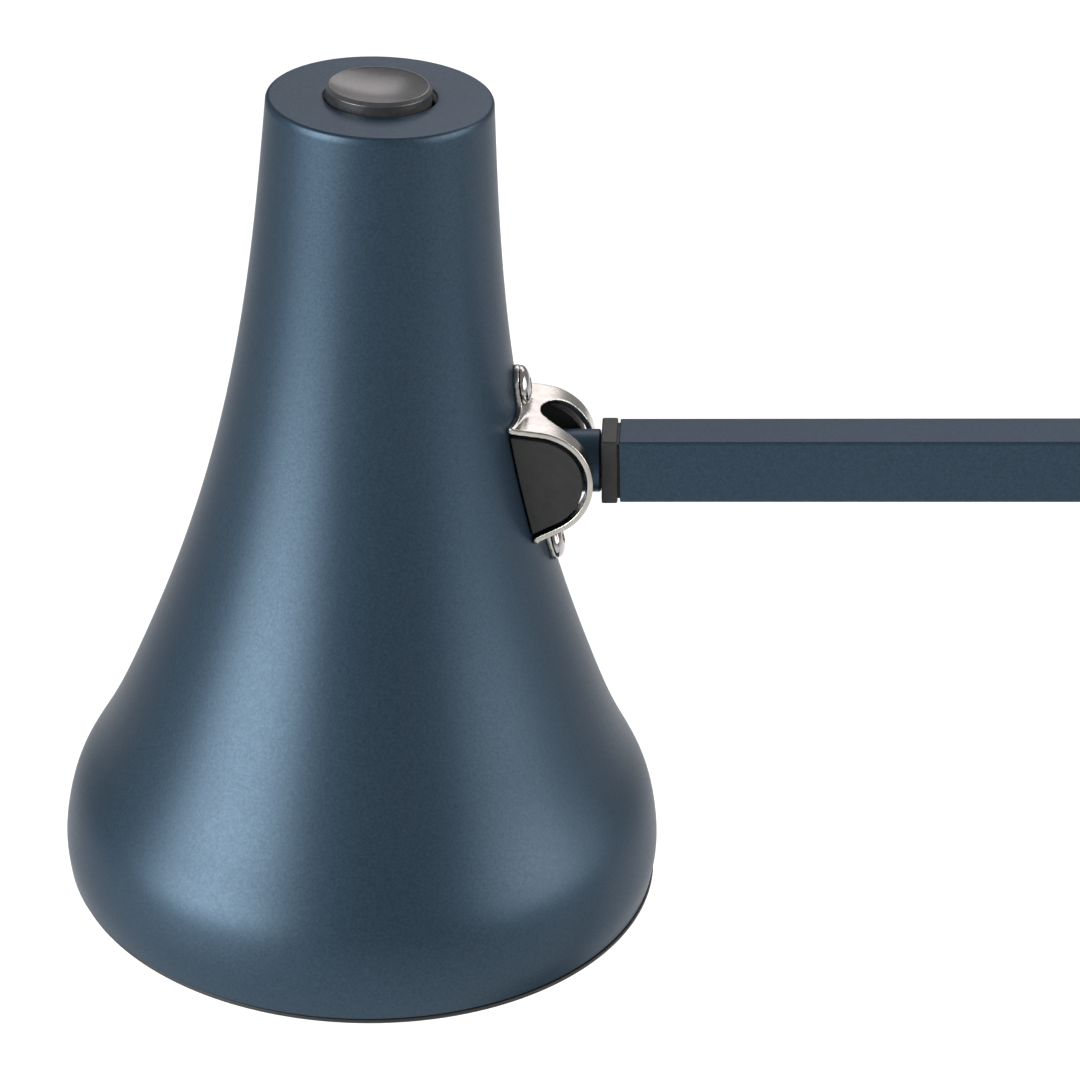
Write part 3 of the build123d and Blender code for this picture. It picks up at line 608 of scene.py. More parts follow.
def opal():
    """The opal disc, softly glowing through."""
    s = Shader("opal", (0.88, 0.88, 0.86), 0.35, 0.0, Transmission_Weight=0.25, Coat_Weight=0.2)
    s.colour(s.ramp(s.noise(8.0, 3.0), (0.85, 0.85, 0.83), (0.91, 0.91, 0.90)))
    s.rough(s.ramp(s.noise(0.6, 3.0), 0.30, 0.42))
    s.bump(s.noise(0.4, 2.0), 0.004)
    return s.material


def cast_iron():
    """The raw casting in the base."""
    s = Shader("cast_iron", (0.09, 0.09, 0.09), 0.7, 0.6)
    s.colour(s.ramp(s.noise(1.5, 5.0), (0.06, 0.06, 0.06), (0.12, 0.115, 0.11)))
    s.rough(s.ramp(s.noise(0.8, 4.0), 0.6, 0.85))
    s.bump(s.noise(0.6, 5.0), 0.08)
    return s.material


def plain_detail(name, colour, roughness, metallic=0.0):
    """A small inside part: one colour with grain, uneven gloss and relief."""
    s = Shader(name, colour, roughness, metallic)
    low = tuple(c * 0.88 for c in colour)
    s.colour(s.ramp(s.noise(1.0, 4.0), low, colour))
    s.rough(s.ramp(s.noise(0.5, 3.0), roughness - 0.06, roughness + 0.08))
    s.bump(s.noise(0.25, 3.0), 0.006)
    return s.material


WHITE = white_paint()
CHROME = chrome()
SLOT_MATERIALS = {
    "navy_paint": navy_paint(),
    "charcoal": charcoal(),
    "button_charcoal": button_plastic(),
    "nickel": nickel(),
    "steel": bare_steel("steel", (0.50, 0.50, 0.51), 0.35),
    "spring_steel": bare_steel("spring_steel", (0.42, 0.42, 0.43), 0.28),
    "cast_iron": cast_iron(),
    "rubber": rubber(),
    "nylon": nylon(),
    "aluminium": plain_detail("aluminium", (0.62, 0.63, 0.65), 0.38, 1.0),
    "white_plastic": plain_detail("reflector_white", (0.86, 0.86, 0.85), 0.3),
    "opal": opal(),
    "board": plain_detail("board_white", (0.80, 0.80, 0.78), 0.4),
    "phosphor": plain_detail("phosphor", (0.85, 0.68, 0.22), 0.45),
    "brass": plain_detail("brass", (0.62, 0.45, 0.18), 0.3, 1.0),
}


# ---- head ----


def build_shade():
    """The shade: one closed skin, navy outside and white inside, with its window cut."""
    heights = np.linspace(RIM_EDGE, SHADE_HEIGHT - CAP_EDGE, 180)
    outer = [(shade_radius(z), z) for z in heights]
    top_radius = shade_radius(SHADE_HEIGHT)
    edge = arc(top_radius - CAP_EDGE, SHADE_HEIGHT - CAP_EDGE, CAP_EDGE, 8, 90, 8)
    lip = arc(BUTTON_HOLE + BUTTON_LIP, SHADE_HEIGHT - BUTTON_LIP, BUTTON_LIP, 90, 180, 4)
    flat = np.linspace(top_radius - CAP_EDGE, BUTTON_HOLE + BUTTON_LIP, 7)[1:-1]
    cap = [(r, SHADE_HEIGHT) for r in flat]
    under = SHADE_HEIGHT - CAP_THICKNESS
    inner_top = shade_radius(under) - SHADE_WALL
    inner = [(shade_radius(z) - SHADE_WALL, z) for z in np.linspace(under, RIM_EDGE, 90)]
    rim = arc(shade_radius(0) - SHADE_WALL / 2, RIM_EDGE, SHADE_WALL / 2 - 0.05, 180, 360, 6)
    profile = outer + edge + cap + lip + [(BUTTON_HOLE, under), (inner_top * 0.8, under)] + inner
    profile += [(r, RIM_EDGE + (z - RIM_EDGE) * 0.5) for r, z in rim]
    bm = bmesh.new()
    lathe(bm, profile, 224)
    shade = new_piece("shade_skin", bm, HEAD, 40)
    window = bmesh.new()
    top = arc(0, PIVOT_Z + WINDOW_RISE, WINDOW_HALF, 0, 180, 20)
    bottom = arc(0, PIVOT_Z - WINDOW_DROP, WINDOW_HALF, 180, 360, 20)
    prism(window, top + bottom, 15, 40, "YZ", bevel=0)
    cut(shade, [(HEAD, window)])
    dress(shade, "head", "navy_paint", ["shade"], [SLOT_MATERIALS["navy_paint"], WHITE])
    to_head = HEAD.inverted()
    for polygon in shade.data.polygons:
        x, y, z = to_head @ polygon.center
        depth = shade_radius(z) - math.hypot(x, y)
        if z < SHADE_HEIGHT - CAP_THICKNESS / 2 and depth > SHADE_WALL / 2:
            polygon.material_index = 1
    smooth(shade, 40)


def build_rim_ring():
    """The black ring on the rim, a little off centre towards the arm."""
    inner, wall, outer = RING_RADII
    low, lip, top = RING_HEIGHTS
    section = [(inner, low), (outer, low), (outer, lip), (wall, lip), (wall, top), (inner, top)]
    bm = bmesh.new()
    lathe(bm, rounded(section, 0.22), 192, at=(RING_SHIFT, 0, 0))
    dress(new_piece("rim_band", bm, HEAD), "head", "charcoal", nodes=["rim_ring"])


def build_button():
    """The push button: a shallow dish, a thin rounded lip, a skirt and the stalk below."""
    top = BUTTON_TOP
    dish_radius, dish_depth, dish_rise = 7.05, 1.15, 1.07
    lip_radius, lip_edge = 7.25, 0.22
    skirt_inner, skirt_foot = 6.6, 128.2
    stalk_radius, stalk_foot = 2.4, 124.6
    radii = np.linspace(0, dish_radius, 26)
    dish = [(r, top - dish_depth + dish_rise * (r / dish_radius) ** 2.2) for r in radii]
    lip = arc(lip_radius, top - lip_edge, lip_edge, 130, 40, 5)
    side = [(7.5, top - 0.2), (BUTTON_RADIUS, top - 0.5)]
    side += [(BUTTON_RADIUS, skirt_foot), (skirt_inner, skirt_foot)]
    side = rounded(side, [0, 0.25, 0.2, 0], closed=False)
    under = [(skirt_inner, BUTTON_UNDERSIDE), (stalk_radius, BUTTON_UNDERSIDE)]
    profile = dish + lip + side + under + [(stalk_radius, stalk_foot), (0, stalk_foot)]
    bm = bmesh.new()
    lathe(bm, profile, 128, at=(BUTTON_SHIFT, 0, 0), closed=False)
    dress(new_piece("button_cap", bm, HEAD), "push_button", "button_charcoal", nodes=["button"])


def build_button_spring():
    """The coil under the button, drawn at rest; on the real lamp it shortens as the button is pressed."""
    low, height, radius, thickness, turns = 124.4, 5.5, 3.6, 0.25, 5
    points = []
    for t in np.linspace(0, 1, turns * 32 + 1):
        a = 2 * math.pi * turns * t
        points.append((BUTTON_SHIFT + radius * math.cos(a), radius * math.sin(a), low + height * t))
    bm = bmesh.new()
    wire(bm, points, thickness, 8)
    spring = new_piece("button_coil", bm, HEAD, 60)
    dress(spring, "head", "spring_steel", nodes=["button_spring"])
    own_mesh(spring)


def wall_x(y, z, grow):
    """Where the shade's wall, grown outwards, stands at a width and a height."""
    return math.sqrt(max((shade_radius(z) + grow) ** 2 - y * y, 0.0))


def tab_height(y, screw_z, corner_z, sign):
    """How far the strap's foot climbs the wall at this width."""
    width = abs(y)
    if width <= TAB_NECK:
        return screw_z + sign * math.sqrt(TAB_RADIUS**2 - width**2)
    t = (width - TAB_NECK) / (SADDLE_HALF - TAB_NECK)
    neck = screw_z - sign * TAB_DROP
    return neck + (corner_z - neck) * (1 - (1 - t) ** TAB_CURVE)


def leg_reach(x, z, direction, y, grow):
    """How far a leg of the strap runs before it meets the wall, at one width."""
    reach = 0.0
    while x + direction.x * reach > wall_x(y, z + direction.y * reach, grow):
        reach += WALL_STEP
    return reach


def strap_side(y, grow, steps=26):
    """The side view of the strap's outer face at one width, from foot to foot."""
    arc_points = []
    for a in np.radians(np.linspace(SADDLE_TOP, SADDLE_BOTTOM, 64)):
        arc_points.append((PIVOT_X + SADDLE_RADIUS * math.cos(a), PIVOT_Z + SADDLE_RADIUS * math.sin(a)))
    top = foot_line(y, math.radians(SADDLE_TOP), arc_points[0], grow, TOP_SCREW_Z, 1, steps)
    bottom = foot_line(y, math.radians(SADDLE_BOTTOM), arc_points[-1], grow, BOTTOM_SCREW_Z, -1, steps)
    return top[::-1] + arc_points[1:-1] + bottom


def foot_line(y, angle, start, grow, screw_z, sign, steps):
    """The leg from the end of the arc to the wall, its bend, and the foot up or down the wall."""
    direction = Vector((-math.sin(angle), math.cos(angle))) * sign
    start = Vector(start)
    reach = leg_reach(start.x, start.y, direction, y, grow)
    corner = start + direction * reach
    end_z = tab_height(y, screw_z, corner.y + sign * 0.2, sign)
    end = Vector((wall_x(y, end_z, grow), end_z))
    bend = min(1.5, 0.8 * abs(end_z - corner.y), 0.8 * reach)
    line = []
    for t in np.linspace(0, 1, steps // 3, endpoint=False):
        line.append(start + direction * (reach - bend) * t)
    knee = start + direction * (reach - bend)
    wall_point_z = corner.y + sign * bend
    wall_point = Vector((wall_x(y, wall_point_z, grow), wall_point_z))
    for t in np.linspace(0, 1, 9, endpoint=False):
        line.append(knee * (1 - t) ** 2 + corner * 2 * t * (1 - t) + wall_point * t * t)
    for t in np.linspace(0, 1, steps // 2):
        z = wall_point_z + (end.y - wall_point_z) * t
        line.append(Vector((wall_x(y, z, grow), z)))
    return [(p[0], p[1]) for p in line]


def build_strap():
    """The nickel strap: a curved skin with thickness, its slot cut, then melted to soft edges."""
    widths = SADDLE_HALF * np.sin(np.linspace(-math.pi / 2, math.pi / 2, 61))
    bm = bmesh.new()
    grid = []
    for y in widths:
        grid.append([bm.verts.new((x, y, z)) for x, z in strap_side(y, SADDLE_THICKNESS + 0.02)])
    for a, b in zip(grid, grid[1:]):
        for i in range(len(a) - 1):
            bm.faces.new((a[i], a[i + 1], b[i + 1], b[i]))
    strap = new_piece("strap_form", bm, Matrix.Identity(4))
    centre = Vector((PIVOT_X, 0, PIVOT_Z))
    outward = sum((p.center - centre).dot(p.normal) for p in strap.data.polygons)
    thick = strap.modifiers.new("thick", "SOLIDIFY")
    thick.thickness = SADDLE_THICKNESS
    thick.offset = -1.0 if outward > 0 else 1.0
    apply_modifier(strap, thick)
    cutters = []
    near, far = 3, 14
    for angle in (SLOT_TOP, SLOT_BOTTOM):
        end = bmesh.new()
        profile = [(0, near), (SLOT_RADIUS, near), (SLOT_RADIUS, far), (0, far)]
        lathe(end, profile, 64, "X", closed=False)
        turn = Matrix.Rotation(math.radians(-angle), 4, "Y")
        cutters.append((Matrix.Translation(centre) @ turn, end))
    wedge = bmesh.new()
    outline = [(PIVOT_X, PIVOT_Z)]
    outline += [tuple(p) for p in arc(PIVOT_X, PIVOT_Z, far + 1, SLOT_BOTTOM, SLOT_TOP, 12)]
    prism(wedge, outline, -SLOT_RADIUS, SLOT_RADIUS, "XZ", bevel=0)
    cutters.append((Matrix.Identity(4), wedge))
    cut(strap, cutters)
    melt(strap, 0.13, 6)
    strap.data.transform(HEAD)
    strap.name = "strap_saddle"
    dress(strap, "head", "nickel", nodes=["head_strap"])


def melt(obj, size, rounds):
    """Rebuilds a piece as an even skin and relaxes it, which rounds its edges."""
    remesh = obj.modifiers.new("remesh", "REMESH")
    remesh.mode = "VOXEL"
    remesh.voxel_size = size
    apply_modifier(obj, remesh)
    relax = obj.modifiers.new("relax", "SMOOTH")
    relax.factor = 0.5
    relax.iterations = rounds
    apply_modifier(obj, relax)
    smooth(obj, 180)


def saddle_outline(radius, y, gap):
    """The closed side view inside the strap at one width: arc, legs and the wall's line."""
    points = arc(PIVOT_X, PIVOT_Z, radius, SADDLE_TOP, SADDLE_BOTTOM, 48)
    top, bottom = math.radians(SADDLE_TOP), math.radians(SADDLE_BOTTOM)
    ends = []
    for point, angle, sign in ((points[-1], bottom, -1), (points[0], top, 1)):
        direction = Vector((-math.sin(angle), math.cos(angle))) * sign
        reach = leg_reach(point[0], point[1], direction, y, gap)
        ends.append((point[0] + direction.x * reach, point[1] + direction.y * reach))
    wall = []
    for z in np.linspace(ends[0][1], ends[1][1], 12)[1:-1]:
        wall.append((wall_x(y, z, gap), z))
    return points + [ends[0]] + wall + [ends[1]]


def build_cheek(side, name, node):
    """One D-shaped plate, closed against the wall at both of its faces."""
    inner = saddle_outline(CHEEK_RADIUS, CHEEK_INNER, CHEEK_GAP)
    outer = saddle_outline(CHEEK_RADIUS, CHEEK_OUTER, CHEEK_GAP)
    bm = bmesh.new()
    a = [bm.verts.new((x, side * CHEEK_INNER, z)) for x, z in inner]
    b = [bm.verts.new((x, side * CHEEK_OUTER, z)) for x, z in outer]
    bm.faces.new(a)
    bm.faces.new(b)
    for i in range(len(a)):
        n = (i + 1) % len(a)
        bm.faces.new((a[i], a[n], b[n], b[i]))
    bmesh.ops.recalc_face_normals(bm, faces=bm.faces)
    soften(bm, 0.22)
    dress(new_piece(name, bm, HEAD), "head", "charcoal", nodes=[node])


def domed_head(radius, crown, skirt, socket, steps):
    """A domed screw head's profile, from the floor of its socket out to its edge."""
    across, floor, mouth = socket
    angles = np.linspace(math.pi / 2, 0, steps)
    dome = [(radius * math.cos(a), crown * math.sin(a) + skirt) for a in angles]
    return [(0, floor), (across, floor), (across, mouth)] + dome[4:]


def build_strap_screws():
    """The two domed plated screws, square to the wall."""
    radius, shank, tip = 3.08, 1.4, -5.8
    head = domed_head(radius, 1.35, 0.18, (1.05, 0.75, 1.42), 16)
    top = ("strap_screw_top", TOP_SCREW_Z, TOP_SCREW_TILT)
    bottom = ("strap_screw_bottom", BOTTOM_SCREW_Z, BOTTOM_SCREW_TILT)
    for name, z, tilt in (top, bottom):
        profile = head + [(radius, 0.0), (shank, 0.0), (shank, tip), (0, tip)]
        bm = bmesh.new()
        lathe(bm, rounded(profile, 0.08, 2, closed=False), 64, "X", closed=False)
        seat = Vector((wall_x(0, z, SADDLE_THICKNESS), 0, z))
        turn = Matrix.Rotation(math.radians(-tilt), 4, "Y")
        screw = new_piece(name, bm, HEAD @ Matrix.Translation(seat) @ turn)
        nodes = ["strap_screws"] if z == TOP_SCREW_Z else []
        dress(screw, "head", "nickel", nodes, [CHROME])


def build_stem():
    """The round navy stem: ball end, barrel and the spigot inside the arm."""
    angles = np.linspace(0.34, math.pi / 2, 20)
    ball = [(STEM_RADIUS * math.sin(a), -STEM_RADIUS * math.cos(a)) for a in angles]
    shoulder = [(STEM_RADIUS, STEM_END - 0.2), (STEM_RADIUS - 0.2, STEM_END)]
    spigot = [(SPIGOT_RADIUS, STEM_END), (SPIGOT_RADIUS, SPIGOT_END), (STEM_BORE, SPIGOT_END)]
    profile = [(STEM_BORE, -4.4)] + ball + shoulder + spigot
    bm = bmesh.new()
    lathe(bm, profile, 96, "X")
    dress(new_piece("stem_barrel", bm, STEM, 40), "stem", "navy_paint", nodes=["swivel_stem"])


# ---- arms ----


def square(half, edge, steps=5):
    """A square outline with rounded corners."""
    return rounded([(-half, -half), (half, -half), (half, half), (-half, half)], edge, steps)


def build_tube(name, matrix, length, body, node):
    """A square tube between the collars of an arm, with its end edges broken."""
    start = COLLAR_START + COLLAR_LENGTH + NECK_LENGTH
    end = length - start
    outer = square(TUBE_HALF, TUBE_EDGE)
    broken = square(TUBE_HALF - TUBE_BREAK, TUBE_EDGE)
    inner = square(TUBE_HALF - TUBE_WALL, 0.3)
    near_half = [(inner, start), (broken, start), (outer, start + TUBE_BREAK)]
    far_half = [(outer, end - TUBE_BREAK), (broken, end), (inner, end)]
    bm = bmesh.new()
    loops = []
    for outline, x in near_half + far_half:
        loops.append([bm.verts.new((x, u, v)) for u, v in outline])
    for a, b in zip(loops, loops[1:] + loops[:1]):
        for i in range(len(a)):
            n = (i + 1) % len(a)
            bm.faces.new((a[i], a[n], b[n], b[i]))
    dress(new_piece(name, bm, matrix, 50), body, "navy_paint", nodes=[node])


def eye_ring(bm, radius, edge):
    """An eye across the arm, bored for a bolt."""
    section = [(BOLT_BORE, -EYE_HALF), (radius, -EYE_HALF), (radius, EYE_HALF), (BOLT_BORE, EYE_HALF)]
    lathe(bm, rounded(section, [0, edge, edge, 0]), 64, "Y")


def face_back(bm, length):
    """Turns an end fitting round to the far end of its arm."""
    matrix = Matrix.Translation((length, 0, 0)) @ Matrix.Rotation(math.pi, 4, "Z")
    bmesh.ops.transform(bm, matrix=matrix, verts=bm.verts)


def build_fitting(name, matrix, body, node, flip=None, eye=False):
    """A tube's charcoal end: collar, neck, tongue in the tube, and an eye where it has one."""
    bm = bmesh.new()
    far = COLLAR_START + COLLAR_LENGTH
    prism(bm, square(COLLAR_HALF, 0.5), COLLAR_START, far, "YZ", bevel=0.28)
    prism(bm, square(NECK_HALF, 0.3), far - 0.4, far + TONGUE_LENGTH, "YZ", bevel=0)
    if eye:
        eye_ring(bm, EYE_RADIUS, 0.4)
        prism(bm, square(SHANK_HALF, 0.6), 1.5, COLLAR_START + 0.3, "YZ", bevel=0)
    if flip is not None:
        face_back(bm, flip)
    dress(new_piece(name, bm, matrix), body, "charcoal", nodes=[node])


def pin_profile(radius, half):
    """A cross pin with a groove and a button end on each side."""
    side = [(radius, SPRING_Y - 0.9), (radius - 0.32, SPRING_Y - 0.7), (radius - 0.32, SPRING_Y + 0.7)]
    side += [(radius, SPRING_Y + 0.9), (radius, half - 1.0), (radius + 0.7, half - 0.8)]
    side += [(radius + 0.7, half - 0.2), (radius + 0.35, half), (0, half)]
    return [(r, -z) for r, z in side[::-1]] + side


def build_pin(name, centre, matrix, body, node):
    """A pin across the lamp that carries spring hooks."""
    bm = bmesh.new()
    lathe(bm, pin_profile(PIN_RADIUS, PIN_HALF), 40, "Y", centre, closed=False)
    dress(new_piece(name, bm, matrix), body, "nickel", nodes=[node])


def spring_line(length):
    """The centreline of a tension spring along Z, hooks included, from the anchor's pin."""
    hook = PIN_RADIUS + WIRE_RADIUS - 0.15
    bend = np.radians(np.linspace(-215, 60, 26))
    points = [(hook * math.cos(a), 0, hook * math.sin(a)) for a in bend]
    start, end = ANCHOR_HOOK, length - ARM_HOOK
    points += [(0.4, 0, hook + 2.0), (0, 0, hook + 4.0)]
    points += [(0, 0, z) for z in np.linspace(hook + 6, start - 3.0, 8)]
    turns = round((end - start) / SPRING_PITCH)
    steps = turns * 20
    lead = 14
    for i in range(-lead, steps + lead + 1):
        t = i / steps
        a = 2 * math.pi * turns * t
        edge = min(i + lead, steps + lead - i) / lead
        r = SPRING_RADIUS * min(1.0, max(0.0, edge)) ** 0.7
        z = start + (end - start) * t
        points.append((r * math.cos(a), r * math.sin(a), z))
    tail = [(hook * math.cos(a), 0, length - hook * math.sin(a)) for a in bend]
    points += [(0, 0, z) for z in np.linspace(end + 2.2, length - hook - 4.0, 4)]
    points += [(0.4, 0, length - hook - 2.0)]
    return points + tail[::-1]


def build_springs(name, start, end, node):
    """Two springs: coils from the anchor's pin to the arm's pin, with hooked wire ends."""
    start, end = Vector(start), Vector(end)
    axis = end - start
    for side, tag in ((-1, "near"), (1, "far")):
        line = spring_line(axis.length)
        z = axis.normalized()
        x = WORLD_Y.cross(z)
        at = start + WORLD_Y * side * SPRING_Y
        turn = Matrix((x, WORLD_Y, z)).transposed().to_4x4()
        bm = bmesh.new()
        wire(bm, line, WIRE_RADIUS, 10)
        piece = new_piece(f"{name}_{tag}", bm, LAMP @ Matrix.Translation(at) @ turn, 60)
        dress(piece, None, "spring_steel", nodes=[node] if side < 0 else [])
        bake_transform(piece)


def build_link():
    """The parallel link: a round rod between two eyes."""
    start, end = 7.0, LOWER_LENGTH - 7.0
    bm = bmesh.new()
    lathe(bm, [(0, start), (LINK_RADIUS, start), (LINK_RADIUS, end), (0, end)], 40, "X", closed=False)
    dress(new_piece("link_bar", bm, LINK), "link", "navy_paint", nodes=["link_rod"])
    barrel = [(0, 3.0), (3.4, 3.0), (3.4, 15.0), (2.32, 15.0), (2.32, 8.0), (0, 8.0)]
    for name, flip in (("link_eye_low", None), ("link_eye_high", LOWER_LENGTH)):
        bm = bmesh.new()
        eye_ring(bm, EYE_RADIUS - 0.6, 0.5)
        lathe(bm, rounded(barrel, [0, 0.2, 0.5, 0, 0, 0]), 48, "X", closed=False)
        if flip is not None:
            face_back(bm, flip)
        nodes = ["link_eyes"] if flip is None else []
        dress(new_piece(name, bm, LINK), "link", "charcoal", nodes=nodes)


# ---- brackets and fasteners ----


def hull_outline(circles, steps=64):
    """The taut outline round circles, as points anticlockwise."""
    points = set()
    for (cx, cy), radius in circles:
        points.update((round(x, 5), round(y, 5)) for x, y in arc(cx, cy, radius, 0, 360, steps))
    ordered = sorted(points)
    halves = []
    for run in (ordered, ordered[::-1]):
        half = []
        for p in run:
            while len(half) > 1 and turn_of(half[-2], half[-1], p) <= 0:
                half.pop()
            half.append(p)
        halves += half[:-1]
    return halves


def turn_of(a, b, c):
    """Above zero where three points turn left."""
    return (b[0] - a[0]) * (c[1] - a[1]) - (b[1] - a[1]) * (c[0] - a[0])


def in_mm(point):
    """A point of the lamp as X and Z in millimetres."""
    return point.x / MM, point.z / MM


def plate(name, circles, side, body, nodes):
    """One painted bracket plate."""
    low, high = sorted((side * PLATE_INNER, side * PLATE_OUTER))
    bm = bmesh.new()
    prism(bm, hull_outline(circles), low, high, "XZ", bevel=0.3)
    dress(new_piece(name, bm, LAMP, 50), body, "navy_paint", nodes=nodes)


def build_elbow_plates():
    """The two plates that join the arms."""
    x, z = in_mm(LOWER_TOP)
    ex, ez = in_mm(ELBOW)
    anchor = (ex + UPPER_ANCHOR[0], ez + UPPER_ANCHOR[1])
    circles = [((x, z), 7.5), ((x + LINK_OFFSET, z), 7.0), ((ex, ez), 7.5), (anchor, 5.0)]
    plate("elbow_side_near", circles, -1, "elbow", ["elbow_plate_near"])
    plate("elbow_side_far", circles, 1, "elbow", ["elbow_plate_far"])


def build_fork():
    """The fork on the base: a round floor and two ears."""
    x, z = in_mm(LOWER_PIVOT)
    anchor = (x + LOWER_ANCHOR[0], z + LOWER_ANCHOR[1])
    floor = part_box("swivel_bracket")[0].z / MM
    circles = [((x, z), 7.5), ((x + LINK_OFFSET, z), 7.0), (anchor, 6.0)]
    circles += [((-5.0, floor + 5), 5.0), ((12.0, floor + 5), 5.0)]
    bm = bmesh.new()
    for side in (-1, 1):
        low, high = sorted((side * PLATE_INNER, side * PLATE_OUTER))
        prism(bm, hull_outline(circles), low, high, "XZ", bevel=0.3)
    bore, radius, top = 3.1, 21, floor + 2
    disc = [(bore, floor), (radius, floor), (radius, top), (bore, top)]
    lathe(bm, rounded(disc, [0, 0.4, 0.5, 0]), 128)
    dress(new_piece("fork_bracket", bm, LAMP, 50), "fork", "navy_paint", nodes=["swivel_bracket"])


def build_bolts(name, centres, body, bolts, nuts):
    """Domed bolt heads on the near side and nuts on the far side."""
    radius, shank, tip = 4.0, 2.0, 11.0
    nut_across, nut_height = 7, 3.1
    head = domed_head(radius, 1.8, 0, (1.5, 1.0, 1.66), 14) + [(radius, 0)]
    for i, (x, z) in enumerate(centres):
        profile = [(r, -PLATE_OUTER - h) for r, h in head]
        profile += [(shank, -PLATE_OUTER), (shank, tip - 0.4), (shank - 0.4, tip), (0, tip)]
        bm = bmesh.new()
        lathe(bm, profile, 48, "Y", (x, 0, z), closed=False)
        piece = new_piece(f"{name}_bolt_{i}", bm, LAMP)
        dress(piece, body, "nickel", [bolts] if i == 0 else [], [CHROME])
        bm = bmesh.new()
        hexagon = [(x + u, z + v) for u, v in arc(0, 0, nut_across / math.sqrt(3), 0, 300, 5)]
        prism(bm, hexagon, PLATE_OUTER, PLATE_OUTER + nut_height, "XZ", bevel=0.25)
        piece = new_piece(f"{name}_nut_{i}", bm, LAMP)
        dress(piece, body, "nickel", [nuts] if i == 0 else [], [CHROME])


def build_base():
    """The painted cover, its rubber pad and the cord inlet's sleeve."""
    low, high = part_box("base_cover")
    radius = max((high.x - low.x) / 2 / MM, high.y / MM)
    top, bottom = high.z / MM, low.z / MM
    edge = 5.0
    inside, under = radius - BASE_WALL, top - BASE_TOP_WALL
    profile = [(radius, bottom)] + arc(radius - edge, top - edge - 0.6, edge, 0, 88, 14)
    profile += [(24.0, top), (3.2, top), (3.2, under), (58.4, under), (inside, 11.0), (inside, bottom)]
    bm = bmesh.new()
    lathe(bm, rounded(profile, [0.3] + [0] * (len(profile) - 1), 3), 224)
    cover = new_piece("base_shell", bm, LAMP, 40)
    inlet_low, inlet_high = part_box("inlet_grommet")
    inlet_z = (inlet_low.z + inlet_high.z) / 2 / MM
    inlet = bmesh.new()
    lathe(inlet, [(0, 58), (2.8, 58), (2.8, 70), (0, 70)], 40, "X", (0, 0, inlet_z), closed=False)
    cut(cover, [(LAMP, inlet)])
    smooth(cover, 40)
    dress(cover, "base", "navy_paint", nodes=["base_cover"])
    pad_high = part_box("base_pad")[1]
    pad_radius, pad_top = pad_high.y / MM, pad_high.z / MM
    pad = rounded([(0, 0), (pad_radius, 0), (pad_radius, pad_top), (0, pad_top)], [0, 0.5, 0.15, 0])
    bm = bmesh.new()
    lathe(bm, pad, 160, closed=False)
    dress(new_piece("base_foot_pad", bm, LAMP), "base", "rubber", nodes=["base_pad"])
    bore, barrel, flange, tail = 2.2, 2.75, 3.6, 62.9
    seat, face = radius + 0.1, radius + 1.2
    sleeve = [(bore, tail), (barrel, tail), (barrel, seat), (flange, seat), (flange, face), (bore, face)]
    bm = bmesh.new()
    lathe(bm, rounded(sleeve, [0, 0, 0, 0.1, 0.4, 0.3]), 64, "X", (0, 0, inlet_z))
    dress(new_piece("cable_grommet", bm, LAMP), "base", "rubber", nodes=["inlet_grommet"])


def build_under_shade():
    """The opal disc inside the shade and its ring, which show from below."""
    disc = [(0, DISC_LOW), (DISC_RADIUS, DISC_LOW), (DISC_RADIUS, DISC_HIGH), (0, DISC_HIGH)]
    bm = bmesh.new()
    lathe(bm, rounded(disc, [0, 0.2, 0.2, 0]), 160, closed=False)
    dress(new_piece("opal_disc", bm, HEAD), "head", "opal", nodes=["diffuser"])
    inner, seat, outer = 28.6, 30.5, 32.6
    low, ledge = 35.7, 36.35
    section = [(inner, low), (outer - 0.4, low), (outer, low + 0.4), (outer, DISC_HIGH)]
    section += [(seat, DISC_HIGH), (seat, ledge), (inner, ledge)]
    bm = bmesh.new()
    lathe(bm, rounded(section, 0.15, 3), 160)
    dress(new_piece("disc_ring", bm, HEAD), "head", "charcoal", nodes=["diffuser_ring"])


def dress_cad():
    """Procedural materials and smooth shading on every CAD node that is still shown."""
    slots = {s["node"]: s["material_slot"] for s in frame["record"]["subparts"]}
    for name, obj in frame["nodes"].items():
        if obj.hide_render:
            continue
        obj.data.materials.clear()
        obj.data.materials.append(SLOT_MATERIALS[slots[name]])
        smooth(obj)


# ---- stage ----


def emitter(name, location, target, size, size_y, power, colour, spread=180):
    """A soft area light that points at a target."""
    data = bpy.data.lights.new(name, "AREA")
    data.shape = "RECTANGLE"
    data.size = size
    data.size_y = size_y
    data.energy = power
    data.spread = math.radians(spread)
    data.color = colour
    obj = bpy.data.objects.new(name, data)
    obj.location = location
    obj.visible_camera = False
    obj.rotation_mode = "QUATERNION"
    obj.rotation_quaternion = (Vector(target) - Vector(location)).to_track_quat("-Z", "Y")
    bpy.context.scene.collection.objects.link(obj)
    return obj


def build_floor():
    """A plain pale floor with a faint mottle."""
    bm = bmesh.new()
    reach = 12.0
    corners = [bm.verts.new((x * reach, y * reach, 0)) for x, y in ((-1, -1), (1, -1), (1, 1), (-1, 1))]
    bm.faces.new(corners)
    mesh = bpy.data.meshes.new("floor")
    bm.to_mesh(mesh)
    bm.free()
    floor = bpy.data.objects.new("floor", mesh)
    bpy.context.scene.collection.objects.link(floor)
    s = Shader("floor_white", (0.92, 0.92, 0.92), 0.9, 0.0, Specular_IOR_Level=0.1)
    s.colour(s.ramp(s.noise(200.0, 2.0), (0.91, 0.91, 0.91), (0.93, 0.93, 0.93)))
    mesh.materials.append(s.material)


